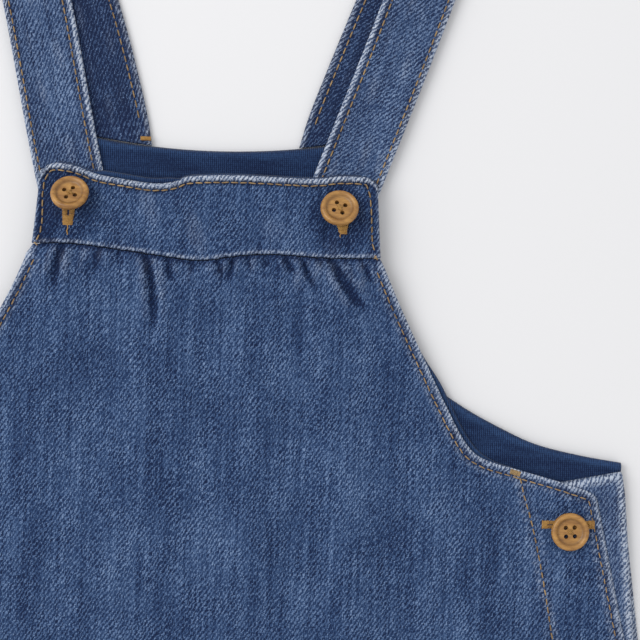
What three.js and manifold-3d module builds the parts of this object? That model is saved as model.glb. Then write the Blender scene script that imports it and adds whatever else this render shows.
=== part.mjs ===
// A toddler's denim pinafore dress, laid flat with its front up.
// Millimetres, +Z up, the shoulders towards +Y. While it is being made, x = 0 is the centre front
// and y = 0 is the seam under the yoke; the finished group is then centred on its own outline.
import * as THREE from 'three';
import { mergeVertices } from 'three/addons/utils/BufferGeometryUtils.js';
import Module from 'manifold-3d';

// ---- driving sizes -------------------------------------------------------------------------
const SEAM_GAP = 0.3;          // space kept between two touching pieces
const YOKE_HALF = 69;          // half width of the yoke at its seam
const YOKE_TAPER = 2;          // how much narrower each side of the yoke is at its top
const YOKE_CORNER = 7;         // radius of the yoke's upper corners
const YOKE_THICK = 2.4;        // doubled denim with its turnings inside
const PANEL_THICK = 1.4;       // front panel
const BACK_THICK = 1.2;        // back panel
const LINING_THICK = 1.0;      // knitted lining and facings
const STAND_THICK = 1.2;       // button stand under the side flap
const STRAP_THICK = 2.0;       // doubled denim strap
const STRAP_WIDTH = 27;
const HEM_HALF = 212;          // half width of the front at the hem
const HEM_SIDE_Y = -320;       // hem at the side seams
const HEM_DROP = 8;            // how much lower the hem hangs at the centre
const HEM_SEAM_SHARE = 118;    // how far out at the hem the cloth under the yoke seam reaches
const FLAP_CORNER = { x: 158.5, y: -91.5 };
const BUTTON_RADIUS = 7.5;
const BUTTON_HOLE_RADIUS = 0.8;
const BUTTON_HOLE_CIRCLE = 2.4;

// ---- how high each layer lies above the surface --------------------------------------------
const BACK_LINING_Z = BACK_THICK + SEAM_GAP;
const STAND_Z = BACK_LINING_Z + LINING_THICK + SEAM_GAP;
const FACING_Z = STAND_Z;
const STRAP_END_Z = STAND_Z + 0.1;
const YOKE_FACING_Z = STRAP_END_Z + STRAP_THICK + SEAM_GAP;
const YOKE_Z = YOKE_FACING_Z + LINING_THICK + SEAM_GAP;
const SKIRT_Z = BACK_THICK + 0.4;
const BIB_Z = FACING_Z + LINING_THICK + 0.4;
const FLAP_Z = STAND_Z + STAND_THICK + 0.4;

// ---- the outlines, right half, each row a point on the edge --------------------------------
const YOKE_TOP = [
  { x: -67, y: 31 }, { x: -61, y: 33 }, { x: -53, y: 32.2 }, { x: -44, y: 29.2 }, { x: -33, y: 27.6 },
  { x: -24, y: 26.5 }, { x: -17, y: 26.7 }, { x: -12, y: 27.9 }, { x: -7, y: 29.8 }, { x: 12, y: 30.8 },
  { x: 41, y: 30.6 }, { x: 52, y: 32 }, { x: 66, y: 32 },
];
const YOKE_SEAM = [
  { x: -69, y: 0.9 }, { x: -56, y: 1.4 }, { x: -46, y: 0.8 }, { x: -31, y: -0.7 }, { x: -17, y: -2.3 },
  { x: -6, y: -3.4 }, { x: 2, y: -3.1 }, { x: 7, y: -2.1 }, { x: 18, y: -0.5 }, { x: 30, y: 0 },
  { x: 50, y: -0.7 }, { x: 69, y: 0.2 },
];
const FRONT_ARMHOLE = [
  { x: 69, y: 0 }, { x: 77.5, y: -18 }, { x: 87, y: -37 }, { x: 96.5, y: -55.5 }, { x: 105, y: -70.5 },
  { x: 112, y: -77 }, { x: 126, y: -81 }, { x: 142, y: -85 }, { x: 155.5, y: -89 }, FLAP_CORNER,
];
const BACK_ARMHOLE = [
  { x: 58, y: 46 }, { x: 62, y: 20 }, { x: 68, y: -5 }, { x: 77, y: -30 }, { x: 90, y: -48 },
  { x: 103, y: -57.5 }, { x: 119, y: -65.8 }, { x: 134, y: -72 }, { x: 152, y: -75.8 }, { x: 168, y: -78 },
];
const NECK = { centreY: 40, sideRise: 6 };
const BACK_HEM = { half: HEM_HALF + 1.5, sideY: HEM_SIDE_Y - 2, drop: HEM_DROP };
const SIDE_OPENING_END = { x: 184.5, y: -196 };

// ---- creases and ridges of the front panel: where each starts, where it ends ----------------
const GATHER_RISE = 2.0;       // how far the gathered cloth stands up just below the yoke
const GATHER_REACH = 95;       // how far below the yoke it has sunk again
const CREASES = [
  { name: 'far_left', fromX: -56.5, fromY: 1, toX: -60, toY: -17, depth: 1.9, half: 3.2 },
  { name: 'left_deep', fromX: -24, fromY: -1, toX: -18, toY: -32, depth: 2.0, half: 3.0 },
  { name: 'left_short', fromX: -15, fromY: -2, toX: -12, toY: -14, depth: 1.4, half: 2.6 },
  { name: 'middle_left', fromX: 4.3, fromY: -2.5, toX: 7, toY: -12, depth: 1.2, half: 2.4 },
  { name: 'middle_right', fromX: 11, fromY: -2, toX: 9.5, toY: -12, depth: 1.2, half: 2.4 },
  { name: 'right_short', fromX: 31, fromY: 0, toX: 36, toY: -9, depth: 1.3, half: 2.6 },
  { name: 'right_thin', fromX: 38, fromY: -1, toX: 45, toY: -14, depth: 1.3, half: 2.4 },
  { name: 'right_deep', fromX: 49.5, fromY: -1, toX: 64, toY: -22, depth: 2.0, half: 3.6 },
];
const SKIRT_FOLDS = [
  { name: 'left_side', fromX: -96, toX: -172, startY: -110, rise: 2.0, half: 20 },
  { name: 'left', fromX: -58, toX: -112, startY: -60, rise: 1.8, half: 18 },
  { name: 'left_centre', fromX: -22, toX: -52, startY: -30, rise: 1.5, half: 16 },
  { name: 'right_centre', fromX: 18, toX: 16, startY: -30, rise: 1.6, half: 15 },
  { name: 'right', fromX: 50, toX: 84, startY: -45, rise: 1.9, half: 17 },
  { name: 'right_side', fromX: 88, toX: 158, startY: -95, rise: 2.1, half: 20 },
];

// ---- straps: centre line of each leg, from the back neck over the shoulder to under the yoke ---
const STRAPS = {
  left: {
    back: [{ x: -37.2, y: 44.6 }, { x: -48.8, y: 85 }, { x: -62, y: 122 }, { x: -76, y: 158 }],
    front: [{ x: -78.5, y: 158 }, { x: -76.5, y: 122 }, { x: -68.5, y: 85 }, { x: -57, y: 31 }, { x: -52, y: 5 }],
  },
  right: {
    back: [{ x: 48.5, y: 44.6 }, { x: 64.3, y: 88 }, { x: 78, y: 124 }, { x: 92, y: 158 }],
    front: [{ x: 93, y: 158 }, { x: 86, y: 122 }, { x: 75.3, y: 88 }, { x: 56, y: 31 }, { x: 49, y: 5 }],
  },
};
const SHOULDER_SPACE = 2.2;    // space inside the shoulder fold
const BUTTONS = [
  { name: 'button_front_left', x: -53.8, y: 20.1, z: YOKE_Z + YOKE_THICK + SEAM_GAP, tilt: 28 },
  { name: 'button_front_right', x: 52, y: 18.4, z: YOKE_Z + YOKE_THICK + SEAM_GAP, tilt: 22 },
  { name: 'button_side_left_upper', x: -148, y: -105, z: FLAP_Z + PANEL_THICK + 0.4, tilt: 0 },
  { name: 'button_side_left_lower', x: -160, y: -158, z: FLAP_Z + PANEL_THICK + 0.4, tilt: 0 },
  { name: 'button_side_right_upper', x: 148, y: -105, z: FLAP_Z + PANEL_THICK + 0.4, tilt: 0 },
  { name: 'button_side_right_lower', x: 160, y: -158, z: FLAP_Z + PANEL_THICK + 0.4, tilt: 0 },
];

// ---- small helpers ---------------------------------------------------------------------------
const mix = (a, b, t) => a + (b - a) * t;
const clamp01 = (t) => Math.min(1, Math.max(0, t));
const ease = (a, b, t) => { const k = clamp01((t - a) / (b - a)); return k * k * (3 - 2 * k); };
const bump = (distance, half) => Math.exp(-((distance / half) ** 2));
const curveOf = (rows) => new THREE.SplineCurve(rows.map((r) => new THREE.Vector2(r.x, r.y)));

function heightAt(rows, x) {
  const curve = curveOf(rows);
  let low = 0, high = 1;
  for (let i = 0; i < 30; i += 1) {
    const middle = (low + high) / 2;
    if (curve.getPoint(middle).x < x) low = middle; else high = middle;
  }
  return curve.getPoint((low + high) / 2).y;
}

const frontArmhole = curveOf(FRONT_ARMHOLE);
const backArmhole = curveOf(BACK_ARMHOLE);

// A closed cloth solid from a grid of points, each with an underside and a top height.
function sheetSolid(columns, rows, pointAt) {
  const across = columns + 1, layer = across * (rows + 1);
  const position = [], index = [];
  for (const side of ['top', 'under']) {
    for (let r = 0; r <= rows; r += 1) {
      for (let c = 0; c <= columns; c += 1) {
        const p = pointAt(c / columns, r / rows);
        position.push(p.x, p.y, side === 'top' ? p.top : p.under);
      }
    }
  }
  const quad = (a, b, c, d) => index.push(a, b, c, a, c, d);
  for (let r = 0; r < rows; r += 1) {
    for (let c = 0; c < columns; c += 1) {
      const a = r * across + c, b = a + 1, d = a + across, e = d + 1;
      quad(a, b, e, d);
      quad(layer + a, layer + d, layer + e, layer + b);
    }
  }
  for (let c = 0; c < columns; c += 1) {
    quad(layer + c, layer + c + 1, c + 1, c);
    const far = rows * across + c;
    quad(far, far + 1, layer + far + 1, layer + far);
  }
  for (let r = 0; r < rows; r += 1) {
    const near = r * across, far = near + across - 1;
    quad(near, near + across, layer + near + across, layer + near);
    quad(far, layer + far, layer + far + across, far + across);
  }
  const geometry = new THREE.BufferGeometry();
  geometry.setAttribute('position', new THREE.Float32BufferAttribute(position, 3));
  geometry.setIndex(index);
  return geometry;
}

// A flat cloth solid of an outline, lying at one height.
function flatSolid(points, z, thickness) {
  const shape = new THREE.Shape(points.map((p) => new THREE.Vector2(p.x, p.y)));
  const geometry = new THREE.ExtrudeGeometry(shape, { depth: thickness, bevelEnabled: false });
  geometry.translate(0, 0, z);
  return tidy(geometry);
}

function tidy(geometry) {
  geometry.deleteAttribute('normal');
  geometry.deleteAttribute('uv');
  return mergeVertices(geometry, 1e-4);
}

// ---- the front panel -------------------------------------------------------------------------
// Its upper edge runs from the left flap up the left armhole, along the yoke seam and down again.
function upperEdge(share) {
  const side = Math.sign(share), out = Math.abs(share);
  if (out <= 0.5) {
    const x = share * 2 * YOKE_HALF;
    return { x, y: heightAt(YOKE_SEAM, x) - SEAM_GAP };
  }
  const p = frontArmhole.getPointAt((out - 0.5) * 2);
  const seamEnd = heightAt(YOKE_SEAM, side * YOKE_HALF) - SEAM_GAP;
  return { x: side * p.x, y: p.y + seamEnd * (1 - ease(0.5, 0.6, out)) };
}

function hemPoint(share) {
  const out = Math.abs(share);
  const reach = out <= 0.5 ? out * 2 * HEM_SEAM_SHARE : mix(HEM_SEAM_SHARE, HEM_HALF, (out - 0.5) * 2);
  const x = Math.sign(share) * reach;
  return { x, y: HEM_SIDE_Y - HEM_DROP * (1 - (x / HEM_HALF) ** 2) };
}

function alongCrease(crease, x, y) {
  const dx = crease.toX - crease.fromX, dy = crease.toY - crease.fromY;
  const t = clamp01(((x - crease.fromX) * dx + (y - crease.fromY) * dy) / (dx * dx + dy * dy));
  const offX = x - crease.fromX - dx * t, offY = y - crease.fromY - dy * t;
  return crease.depth * (1 - t * 0.8) * bump(Math.hypot(offX, offY), crease.half);
}

function foldHeight(x, y, hold) {
  const gathered = GATHER_RISE * ease(-GATHER_REACH, -14, y) * (1 - ease(56, 74, Math.abs(x)));
  const onFlap = ease(104, 126, Math.abs(x)) * ease(-240, -192, y);
  let height = 0.3 + gathered;
  for (const crease of CREASES) height -= alongCrease(crease, x, y);
  for (const fold of SKIRT_FOLDS) {
    const centre = mix(fold.fromX, fold.toX, y / HEM_SIDE_Y);
    const grown = ease(fold.startY, fold.startY - 110, y) * (1 - onFlap);
    height += fold.rise * grown * bump(x - centre, fold.half);
  }
  return Math.max(0, height) * hold;
}

function frontUnderside(x, y) {
  const ontoYoke = ease(-24, -3, y) * (1 - ease(72, 84, Math.abs(x)));
  const ontoLining = ease(-165, -99, y);
  const ontoStand = ease(98, 122, Math.abs(x)) * ease(-262, -212, y);
  const low = mix(SKIRT_Z, BIB_Z, ontoLining);
  return mix(mix(low, FLAP_Z, ontoStand), YOKE_Z, ontoYoke);
}

function frontPanel() {
  return sheetSolid(48, 24, (across, down) => {
    const share = across * 2 - 1, fall = 1 - (1 - down) ** 1.5;
    const top = upperEdge(share), hem = hemPoint(share);
    const x = mix(hem.x, top.x, fall), y = mix(hem.y, top.y, fall);
    const fromSide = (1 - Math.abs(share)) * mix(HEM_HALF, FLAP_CORNER.x, fall);
    const hold = ease(0, 9, fromSide) * ease(0, 0.02, 1 - fall + (Math.abs(share) < 0.5 ? 1 : 0));
    const under = frontUnderside(x, y) + foldHeight(x, y, hold);
    return { x, y, under, top: under + PANEL_THICK };
  });
}

// ---- the yoke and the facing behind it ---------------------------------------------------------
function yokeOutline(inset, rise, bottomY) {
  const points = [], steps = 30, half = YOKE_HALF - inset;
  for (let i = 0; i <= steps; i += 1) {
    const x = mix(-half, half, i / steps);
    points.push({ x, y: bottomY === undefined ? heightAt(YOKE_SEAM, x) : bottomY });
  }
  const topHalf = half - YOKE_TAPER, corner = YOKE_CORNER;
  for (const side of [1, -1]) {
    const edgeY = heightAt(YOKE_TOP, side * (topHalf - corner)) + rise(side * topHalf);
    for (let i = 0; i <= 5; i += 1) {
      const turn = (i / 5) * Math.PI / 2;
      const arc = { out: topHalf - corner + corner * Math.cos(turn), up: edgeY - corner + corner * Math.sin(turn) };
      if (side === 1) points.push({ x: arc.out, y: arc.up });
      else points.push({ x: -(topHalf - corner + corner * Math.sin(turn)), y: edgeY - corner + corner * Math.cos(turn) });
    }
    if (side === 1) {
      for (let i = 1; i < steps; i += 1) {
        const x = mix(topHalf - corner, -(topHalf - corner), i / steps);
        points.push({ x, y: heightAt(YOKE_TOP, x) + rise(x) });
      }
    }
  }
  return points;
}

function yokeFacingOutline() {
  const peek = (x) => (Math.abs(x) > 60 ? -1 : 0.8 + 1.4 * ease(-46, -40, x) * (1 - ease(-17, -10, x)));
  return yokeOutline(1.5, peek, 4);
}

// A strip along the inside of an armhole, showing a little beyond the front's edge.
function armholeFacingOutline(side) {
  const outer = [], inner = [], steps = 18;
  for (let i = 0; i <= steps; i += 1) {
    const t = mix(0.06, 0.74, i / steps);
    const p = frontArmhole.getPointAt(t), d = frontArmhole.getTangentAt(t);
    const show = 2 * ease(0.28, 0.42, t) * (1 - ease(0.6, 0.72, t));
    outer.push({ x: p.x - d.y * show, y: p.y + d.x * show });
    inner.push({ x: p.x + d.y * 12, y: p.y - d.x * 12 });
  }
  const loop = outer.reverse().concat(inner);
  return loop.map((p) => ({ x: side * p.x, y: p.y }));
}

// ---- the back, its lining and the button stands --------------------------------------------------
const neckY = (x) => NECK.centreY + NECK.sideRise * (x / BACK_ARMHOLE[0].x) ** 2;

function backUpperEdge(grow) {
  const points = [];
  for (let i = 0; i <= 22; i += 1) {
    const p = backArmhole.getPointAt(1 - i / 22), d = backArmhole.getTangentAt(1 - i / 22);
    points.push({ x: p.x - d.y * grow, y: p.y + d.x * grow });
  }
  const right = points, left = points.map((p) => ({ x: -p.x, y: p.y })).reverse();
  const neck = [];
  for (let i = 1; i < 14; i += 1) {
    const x = mix(BACK_ARMHOLE[0].x, -BACK_ARMHOLE[0].x, i / 14);
    neck.push({ x, y: neckY(x) + grow });
  }
  return right.concat(neck, left);
}

function backOutline() {
  const hem = [];
  for (let i = 0; i <= 20; i += 1) {
    const x = mix(-BACK_HEM.half, BACK_HEM.half, i / 20);
    hem.push({ x, y: BACK_HEM.sideY - BACK_HEM.drop * (1 - (x / BACK_HEM.half) ** 2) });
  }
  const { x, y } = SIDE_OPENING_END;
  return hem.concat([{ x, y }], backUpperEdge(0), [{ x: -x, y }]);
}

function backLiningOutline() {
  const lowerY = -98;
  return [{ x: -169, y: lowerY + 4 }, { x: -120, y: lowerY }, { x: 120, y: lowerY }, { x: 169, y: lowerY + 4 }]
    .concat(backUpperEdge(0.5));
}

function standOutline(side) {
  const corners = [
    { x: 136, y: -89 }, { x: 150, y: -86.5 }, { x: 167.4, y: -81 }, { x: 169, y: -90 },
    { x: 174, y: -140 }, { x: 180.5, y: -196 }, { x: 156, y: -196 },
  ];
  return corners.map((p) => ({ x: side * p.x, y: p.y }));
}

// ---- straps -----------------------------------------------------------------------------------
function strapSolid(legs) {
  const backLeg = curveOf(legs.back), frontLeg = curveOf(legs.front);
  const low = STRAP_THICK / 2, high = STRAP_THICK * 1.5 + SHOULDER_SPACE;
  const path = [];
  for (let i = 0; i <= 12; i += 1) {
    const p = backLeg.getPointAt(i / 12), d = backLeg.getTangentAt(i / 12);
    const square = ease(0, 0.16, i / 12);
    path.push({ at: new THREE.Vector3(p.x, p.y, low), lean: Math.atan2(d.x, d.y) * square });
  }
  const foldLean = (path[12].lean + Math.atan2(-frontLeg.getTangentAt(0).x, -frontLeg.getTangentAt(0).y)) / 2;
  path[12].lean = foldLean;
  for (let i = 1; i < 8; i += 1) {
    const turn = (i / 8) * Math.PI, radius = (high - low) / 2;
    const reach = radius * Math.sin(turn);
    path.push({
      at: new THREE.Vector3(
        mix(legs.back[3].x, legs.front[0].x, i / 8) + reach * Math.sin(foldLean),
        legs.back[3].y + reach * Math.cos(foldLean), low + radius * (1 - Math.cos(turn))),
      lean: foldLean,
    });
  }
  for (let i = 0; i <= 22; i += 1) {
    const p = frontLeg.getPointAt(i / 22), d = frontLeg.getTangentAt(i / 22);
    const settle = ease(0, 0.3, i / 22), climb = ease(70, 50, p.y);
    const z = mix(high, low + STRAP_THICK + 0.4, settle) + (STRAP_END_Z - STRAP_THICK - 0.4) * climb;
    const lean = i === 0 ? foldLean : Math.atan2(-d.x, -d.y);
    path.push({ at: new THREE.Vector3(p.x, p.y, z), lean });
  }
  const position = [], index = [], columns = 3, ring = 2 * (columns + 1);
  path.forEach((step, i) => {
    const before = path[Math.max(0, i - 1)].at, after = path[Math.min(path.length - 1, i + 1)].at;
    const along = after.clone().sub(before).normalize();
    const across = new THREE.Vector3(Math.cos(step.lean), -Math.sin(step.lean), 0);
    const up = new THREE.Vector3().crossVectors(across, along).normalize().multiplyScalar(STRAP_THICK / 2);
    const foot = i === 0 ? (x) => neckY(x) + 1.2 - step.at.y : () => 0;
    for (const face of [1, -1]) {
      for (let c = 0; c <= columns; c += 1) {
        const wide = STRAP_WIDTH * ((face === 1 ? c : columns - c) / columns - 0.5);
        const p = step.at.clone().addScaledVector(across, wide).addScaledVector(up, face);
        p.y += foot(p.x);
        position.push(p.x, p.y, p.z);
      }
    }
  });
  for (let i = 0; i < path.length - 1; i += 1) {
    for (let k = 0; k < ring; k += 1) {
      const a = i * ring + k, b = i * ring + (k + 1) % ring;
      index.push(a, b, b + ring, a, b + ring, a + ring);
    }
  }
  for (let c = 0; c < columns; c += 1) {
    const last = (path.length - 1) * ring, c2 = ring - 1 - c;
    index.push(c, c2, c + 1, c + 1, c2, c2 - 1);
    index.push(last + c, last + c + 1, last + c2, last + c + 1, last + c2 - 1, last + c2);
  }
  const geometry = new THREE.BufferGeometry();
  geometry.setAttribute('position', new THREE.Float32BufferAttribute(position, 3));
  geometry.setIndex(index);
  return geometry;
}

// ---- buttons ------------------------------------------------------------------------------------
const wasm = await Module();
wasm.setup();

function asManifold(geometry) {
  const merged = tidy(geometry.clone());
  return new wasm.Manifold(new wasm.Mesh({
    numProp: 3,
    vertProperties: new Float32Array(merged.attributes.position.array),
    triVerts: new Uint32Array(merged.index.array),
  }));
}

function fromManifold(solid) {
  const mesh = solid.getMesh(), geometry = new THREE.BufferGeometry();
  geometry.setAttribute('position', new THREE.Float32BufferAttribute(Array.from(mesh.vertProperties), 3));
  geometry.setIndex(Array.from(mesh.triVerts));
  return geometry;
}

function buttonSolid() {
  const profile = [
    { r: 0, z: 0 }, { r: 5.9, z: 0 }, { r: 7.1, z: 0.6 }, { r: BUTTON_RADIUS, z: 1.5 }, { r: 7.3, z: 2.6 },
    { r: 6.6, z: 3.1 }, { r: 6.0, z: 3.0 }, { r: 5.2, z: 2.4 }, { r: 0, z: 2.1 },
  ].map((p) => new THREE.Vector2(p.r, p.z));
  const disc = new THREE.LatheGeometry(profile, 28);
  disc.rotateX(Math.PI / 2);
  let solid = asManifold(disc);
  for (let i = 0; i < 4; i += 1) {
    const turn = Math.PI * (i / 2 + 0.25);
    const hole = new THREE.CylinderGeometry(BUTTON_HOLE_RADIUS, BUTTON_HOLE_RADIUS, 10, 10);
    hole.rotateX(Math.PI / 2);
    hole.translate(BUTTON_HOLE_CIRCLE * Math.cos(turn), BUTTON_HOLE_CIRCLE * Math.sin(turn), 0);
    solid = solid.subtract(asManifold(hole));
  }
  return fromManifold(solid);
}

// A tilted button leans on its upper rim, its lower rim lifted by the pull of the strap.
function placedButton(spec) {
  const geometry = buttonSolid(), tilt = THREE.MathUtils.degToRad(spec.tilt);
  geometry.rotateX(-tilt);
  geometry.computeBoundingBox();
  geometry.translate(spec.x, spec.y, spec.z - geometry.boundingBox.min.z);
  return geometry;
}

// ---- materials and the finished group -------------------------------------------------------------
const cloth = (name, color, roughness) =>
  Object.assign(new THREE.MeshStandardMaterial({ color, roughness, metalness: 0 }), { name });
const group = new THREE.Group();

function add(name, geometry, material) {
  geometry.computeVertexNormals();
  const mesh = new THREE.Mesh(geometry, material);
  mesh.name = name;
  group.add(mesh);
}

const DENIM = 0x2f4f80, JERSEY = 0x1b3560, WOOD = 0xb8823f;
add('back_panel', flatSolid(backOutline(), 0, BACK_THICK), cloth('back_denim', DENIM, 0.85));
add('back_lining', flatSolid(backLiningOutline(), BACK_LINING_Z, LINING_THICK), cloth('back_jersey', JERSEY, 0.95));
add('front_panel', frontPanel(), cloth('front_denim', DENIM, 0.85));
add('front_yoke', flatSolid(yokeOutline(0, () => 0), YOKE_Z, YOKE_THICK), cloth('yoke_denim', DENIM, 0.82));
add('yoke_facing', flatSolid(yokeFacingOutline(), YOKE_FACING_Z, LINING_THICK), cloth('yoke_facing', 0x2f5285, 0.95));
for (const [word, side] of [['left', -1], ['right', 1]]) {
  add(`armhole_facing_${word}`, flatSolid(armholeFacingOutline(side), FACING_Z, LINING_THICK),
    cloth(`facing_${word}`, 0x2f5285, 0.95));
  add(`button_stand_${word}`, flatSolid(standOutline(side), STAND_Z, STAND_THICK),
    cloth(`stand_${word}`, 0x3a5a8a, 0.85));
  add(`strap_${word}`, strapSolid(STRAPS[word]), cloth(`strap_${word}`, 0x3a5a8a, 0.85));
}
for (const spec of BUTTONS) add(spec.name, placedButton(spec), cloth(`${spec.name}_wood`, WOOD, 0.5));

const box = new THREE.Box3().setFromObject(group);
group.position.set(-(box.min.x + box.max.x) / 2, -(box.min.y + box.max.y) / 2, -box.min.z);
group.updateMatrixWorld(true);

export default group;
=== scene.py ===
"""A toddler's denim pinafore dress laid flat, front up. Sizes are in millimetres until a mesh is made.
x = 0 is the centre front and y = 0 the seam under the yoke, with the shoulders towards +y."""
import math
import random
import bpy
import numpy as np
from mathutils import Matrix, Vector


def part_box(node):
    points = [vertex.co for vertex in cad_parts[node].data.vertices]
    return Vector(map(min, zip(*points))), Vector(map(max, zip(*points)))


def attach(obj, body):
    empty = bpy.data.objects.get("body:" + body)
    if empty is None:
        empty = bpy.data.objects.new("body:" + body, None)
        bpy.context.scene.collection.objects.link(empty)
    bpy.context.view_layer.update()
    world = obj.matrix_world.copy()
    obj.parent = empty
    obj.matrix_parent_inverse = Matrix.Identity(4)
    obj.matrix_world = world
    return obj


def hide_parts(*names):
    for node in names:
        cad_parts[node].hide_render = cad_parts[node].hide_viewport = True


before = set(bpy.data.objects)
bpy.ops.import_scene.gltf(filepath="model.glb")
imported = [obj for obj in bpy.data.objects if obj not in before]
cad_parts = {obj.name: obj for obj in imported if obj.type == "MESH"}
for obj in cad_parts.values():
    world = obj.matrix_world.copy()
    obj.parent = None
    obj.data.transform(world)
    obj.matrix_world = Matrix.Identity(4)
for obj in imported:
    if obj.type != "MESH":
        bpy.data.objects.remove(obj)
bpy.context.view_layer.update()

MM = 0.001
HEM_LOWEST = -330.0
RISE_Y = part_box("back_panel")[0].y / MM - HEM_LOWEST   # from the yoke seam to the outline's centre
rng = random.Random(11)

# ---- sizes ---------------------------------------------------------------------------------------
YOKE_HALF, YOKE_TAPER, YOKE_CORNER, YOKE_THICK = 69.0, 2.0, 6.0, 2.4
PANEL_THICK, BACK_THICK, LINING_THICK, STAND_THICK = 1.3, 1.2, 1.0, 1.2
STRAP_WIDTH, STRAP_THICK = 27.0, 2.0
HEM_HALF, HEM_SIDE_Y, HEM_DROP, HEM_SEAM_SHARE = 212.0, -320.0, 8.0, 118.0
BACK_LINING_Z, STAND_Z, STRAP_END_Z = 1.5, 2.8, 2.9
YOKE_FACING_Z, YOKE_Z = 5.2, 6.5
SKIRT_Z, BIB_Z, FLAP_Z = 1.6, 4.2, 4.4
SHOULDER_SPACE = 2.2
STITCH_PITCH, STITCH_LONG, THREAD_RADIUS = 3.5, 2.7, 0.27
EDGE_STITCH = 3.4                                     # how far a topstitch runs inside an edge
# along one stitch: places as shares of its length, then height and thickness in thread radii
STITCH_MARKS = np.array([-0.5, -0.4, -0.2, 0, 0.2, 0.4, 0.5])
STITCH_RISE = np.array([-1.0, 0.1, 0.55, 0.7, 0.55, 0.1, -1.0])
STITCH_SWELL = np.array([0.6, 0.9, 1.05, 1.05, 1.05, 0.9, 0.6])
SATIN_RISE, SATIN_SWELL = np.array([-0.8, 0.5, 1.1, 0.6, -0.8]), np.array([0.8, 1, 1, 1, 0.7])
BAR_RISE, BAR_SWELL = np.array([-0.8, 0.7, 1.5, 0.7, -0.8]), np.array([0.7, 1, 1, 1, 0.7])
STRAP_STITCH_INNER, STRAP_STITCH_OUTER = 3.5, 2.5     # the strap's stitch lines, in from its edges
ROOM_LIGHT, WINDOW_POWER, WINDOW_SIZE = 0.77, 17.5, 1.5
WINDOW_PLACE, WINDOW_TARGET = (-1.15, 0.5, 1.45), (0.03, 0.05, 0)
FLOOR_HALF, FLOOR_Z = 6.0, -0.0004
CAMERA_X, CAMERA_Y, CAMERA_TURN = 46.0, -25.1, 2.2
CAMERA_LENS, CAMERA_SENSOR = 85.0, 36.0
VIEW_WIDTH, VIEW_LEVEL = 252.8, 8.0                   # how wide the view is, at this height

# outlines as x, y: the yoke from left to right, the armholes from the yoke or the neck outwards
YOKE_TOP = [(-67, 31), (-61, 33), (-53, 32.2), (-44, 29.2), (-33, 27.6), (-24, 26.5), (-17, 26.7),
            (-12, 27.9), (-7, 29.8), (12, 30.8), (41, 30.6), (52, 32), (66, 32)]
YOKE_SEAM = [(-69, 0.9), (-56, 1.4), (-46, 0.8), (-31, -0.7), (-17, -2.3), (-6, -3.4), (2, -3.1),
             (7, -2.1), (18, -0.5), (30, 0), (50, -0.7), (69, 0.2)]
FRONT_ARMHOLE = [(69, 0), (77.5, -18), (87, -37), (96.5, -55.5), (105, -70.5), (112, -77), (126, -81),
                 (142, -85), (155.5, -89), (158.5, -91.5)]
BACK_ARMHOLE = [(58, 46), (62, 20), (68, -5), (77, -30), (90, -48), (103, -57.5), (119, -65.8),
                (134, -72), (152, -75.8), (168, -78)]
NECK_CENTRE_Y, NECK_SIDE_RISE = 40.0, 6.0
SIDE_OPENING_END = (184.5, -196.0)

# creases that fan out below the yoke: from x y, to x y, sideways bow, depth, half width, puff beside
CREASES = [
    ("far_left", -56.5, 1, -60, -17, 0.5, 3.0, 1.5, 1.2),
    ("left_faint", -42, 0, -44, -12, 0.0, 1.0, 1.4, 0.5),
    ("left_faint_inner", -34, 0, -35.5, -7, 0.0, 1.1, 1.1, 0.4),
    ("left_deep", -24, -1, -19.5, -32, -1.2, 3.2, 1.35, 1.2),
    ("left_short", -15, -2, -12.5, -13, 0.4, 2.4, 1.1, 0.8),
    ("centre_nick", -5.8, -3.4, -5.4, -9, 0.0, 1.5, 0.9, 0.6),
    ("middle_left", 4.3, -2.5, 7.4, -12, -0.3, 2.2, 1.0, 0.7),
    ("middle_right", 11, -2, 9.3, -12, 0.3, 2.2, 1.0, 0.7),
    ("right_nick", 16.3, -1, 18.4, -7.5, 0.0, 1.8, 0.9, 0.6),
    ("centre_right_nick", 23.5, -1, 24.6, -6, 0.0, 1.3, 0.9, 0.5),
    ("right_short", 31, 0, 35.6, -8, 0.3, 2.2, 1.1, 0.8),
    ("right_thin", 38, -1, 44.6, -14, 0.5, 2.3, 0.9, 0.8),
    ("right_nick_outer", 44.6, -1.5, 48.8, -6.5, 0.0, 1.8, 0.9, 0.6),
    ("right_deep", 49.5, -1, 64, -21, 0.8, 3.2, 1.6, 1.2),
    ("edge_ridge", 61.7, -1, 67, -11, 0.3, 1.6, 1.1, 0.8),
]
# soft pulls across the yoke, from its buttons and seam
YOKE_PULLS = [
    ("from_left_button", -46, 24, -31, 3, 0.5, 0.35, 2.0, 0.35),
    ("below_left_button", -59, 9, -61, 1, 0.0, 0.5, 1.6, 0.2),
    ("left_middle", -36, 22, -22, 4, 0.4, 0.25, 2.4, 0.25),
    ("below_right_button", 48, 13, 47, 1, 0.2, 0.7, 1.5, 0.3),
    ("right_of_button", 55.5, 11, 57, 1, 0.0, 0.5, 1.4, 0.3),
    ("right_button_up", 45, 26, 38, 30, 0.0, 0.4, 1.6, 0.2),
    ("seam_left", -10, -2, -6, 12, 0.3, 0.3, 1.8, 0.25),
    ("seam_right", 20, 0, 25, 14, 0.0, 0.3, 2.2, 0.2),
]
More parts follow.
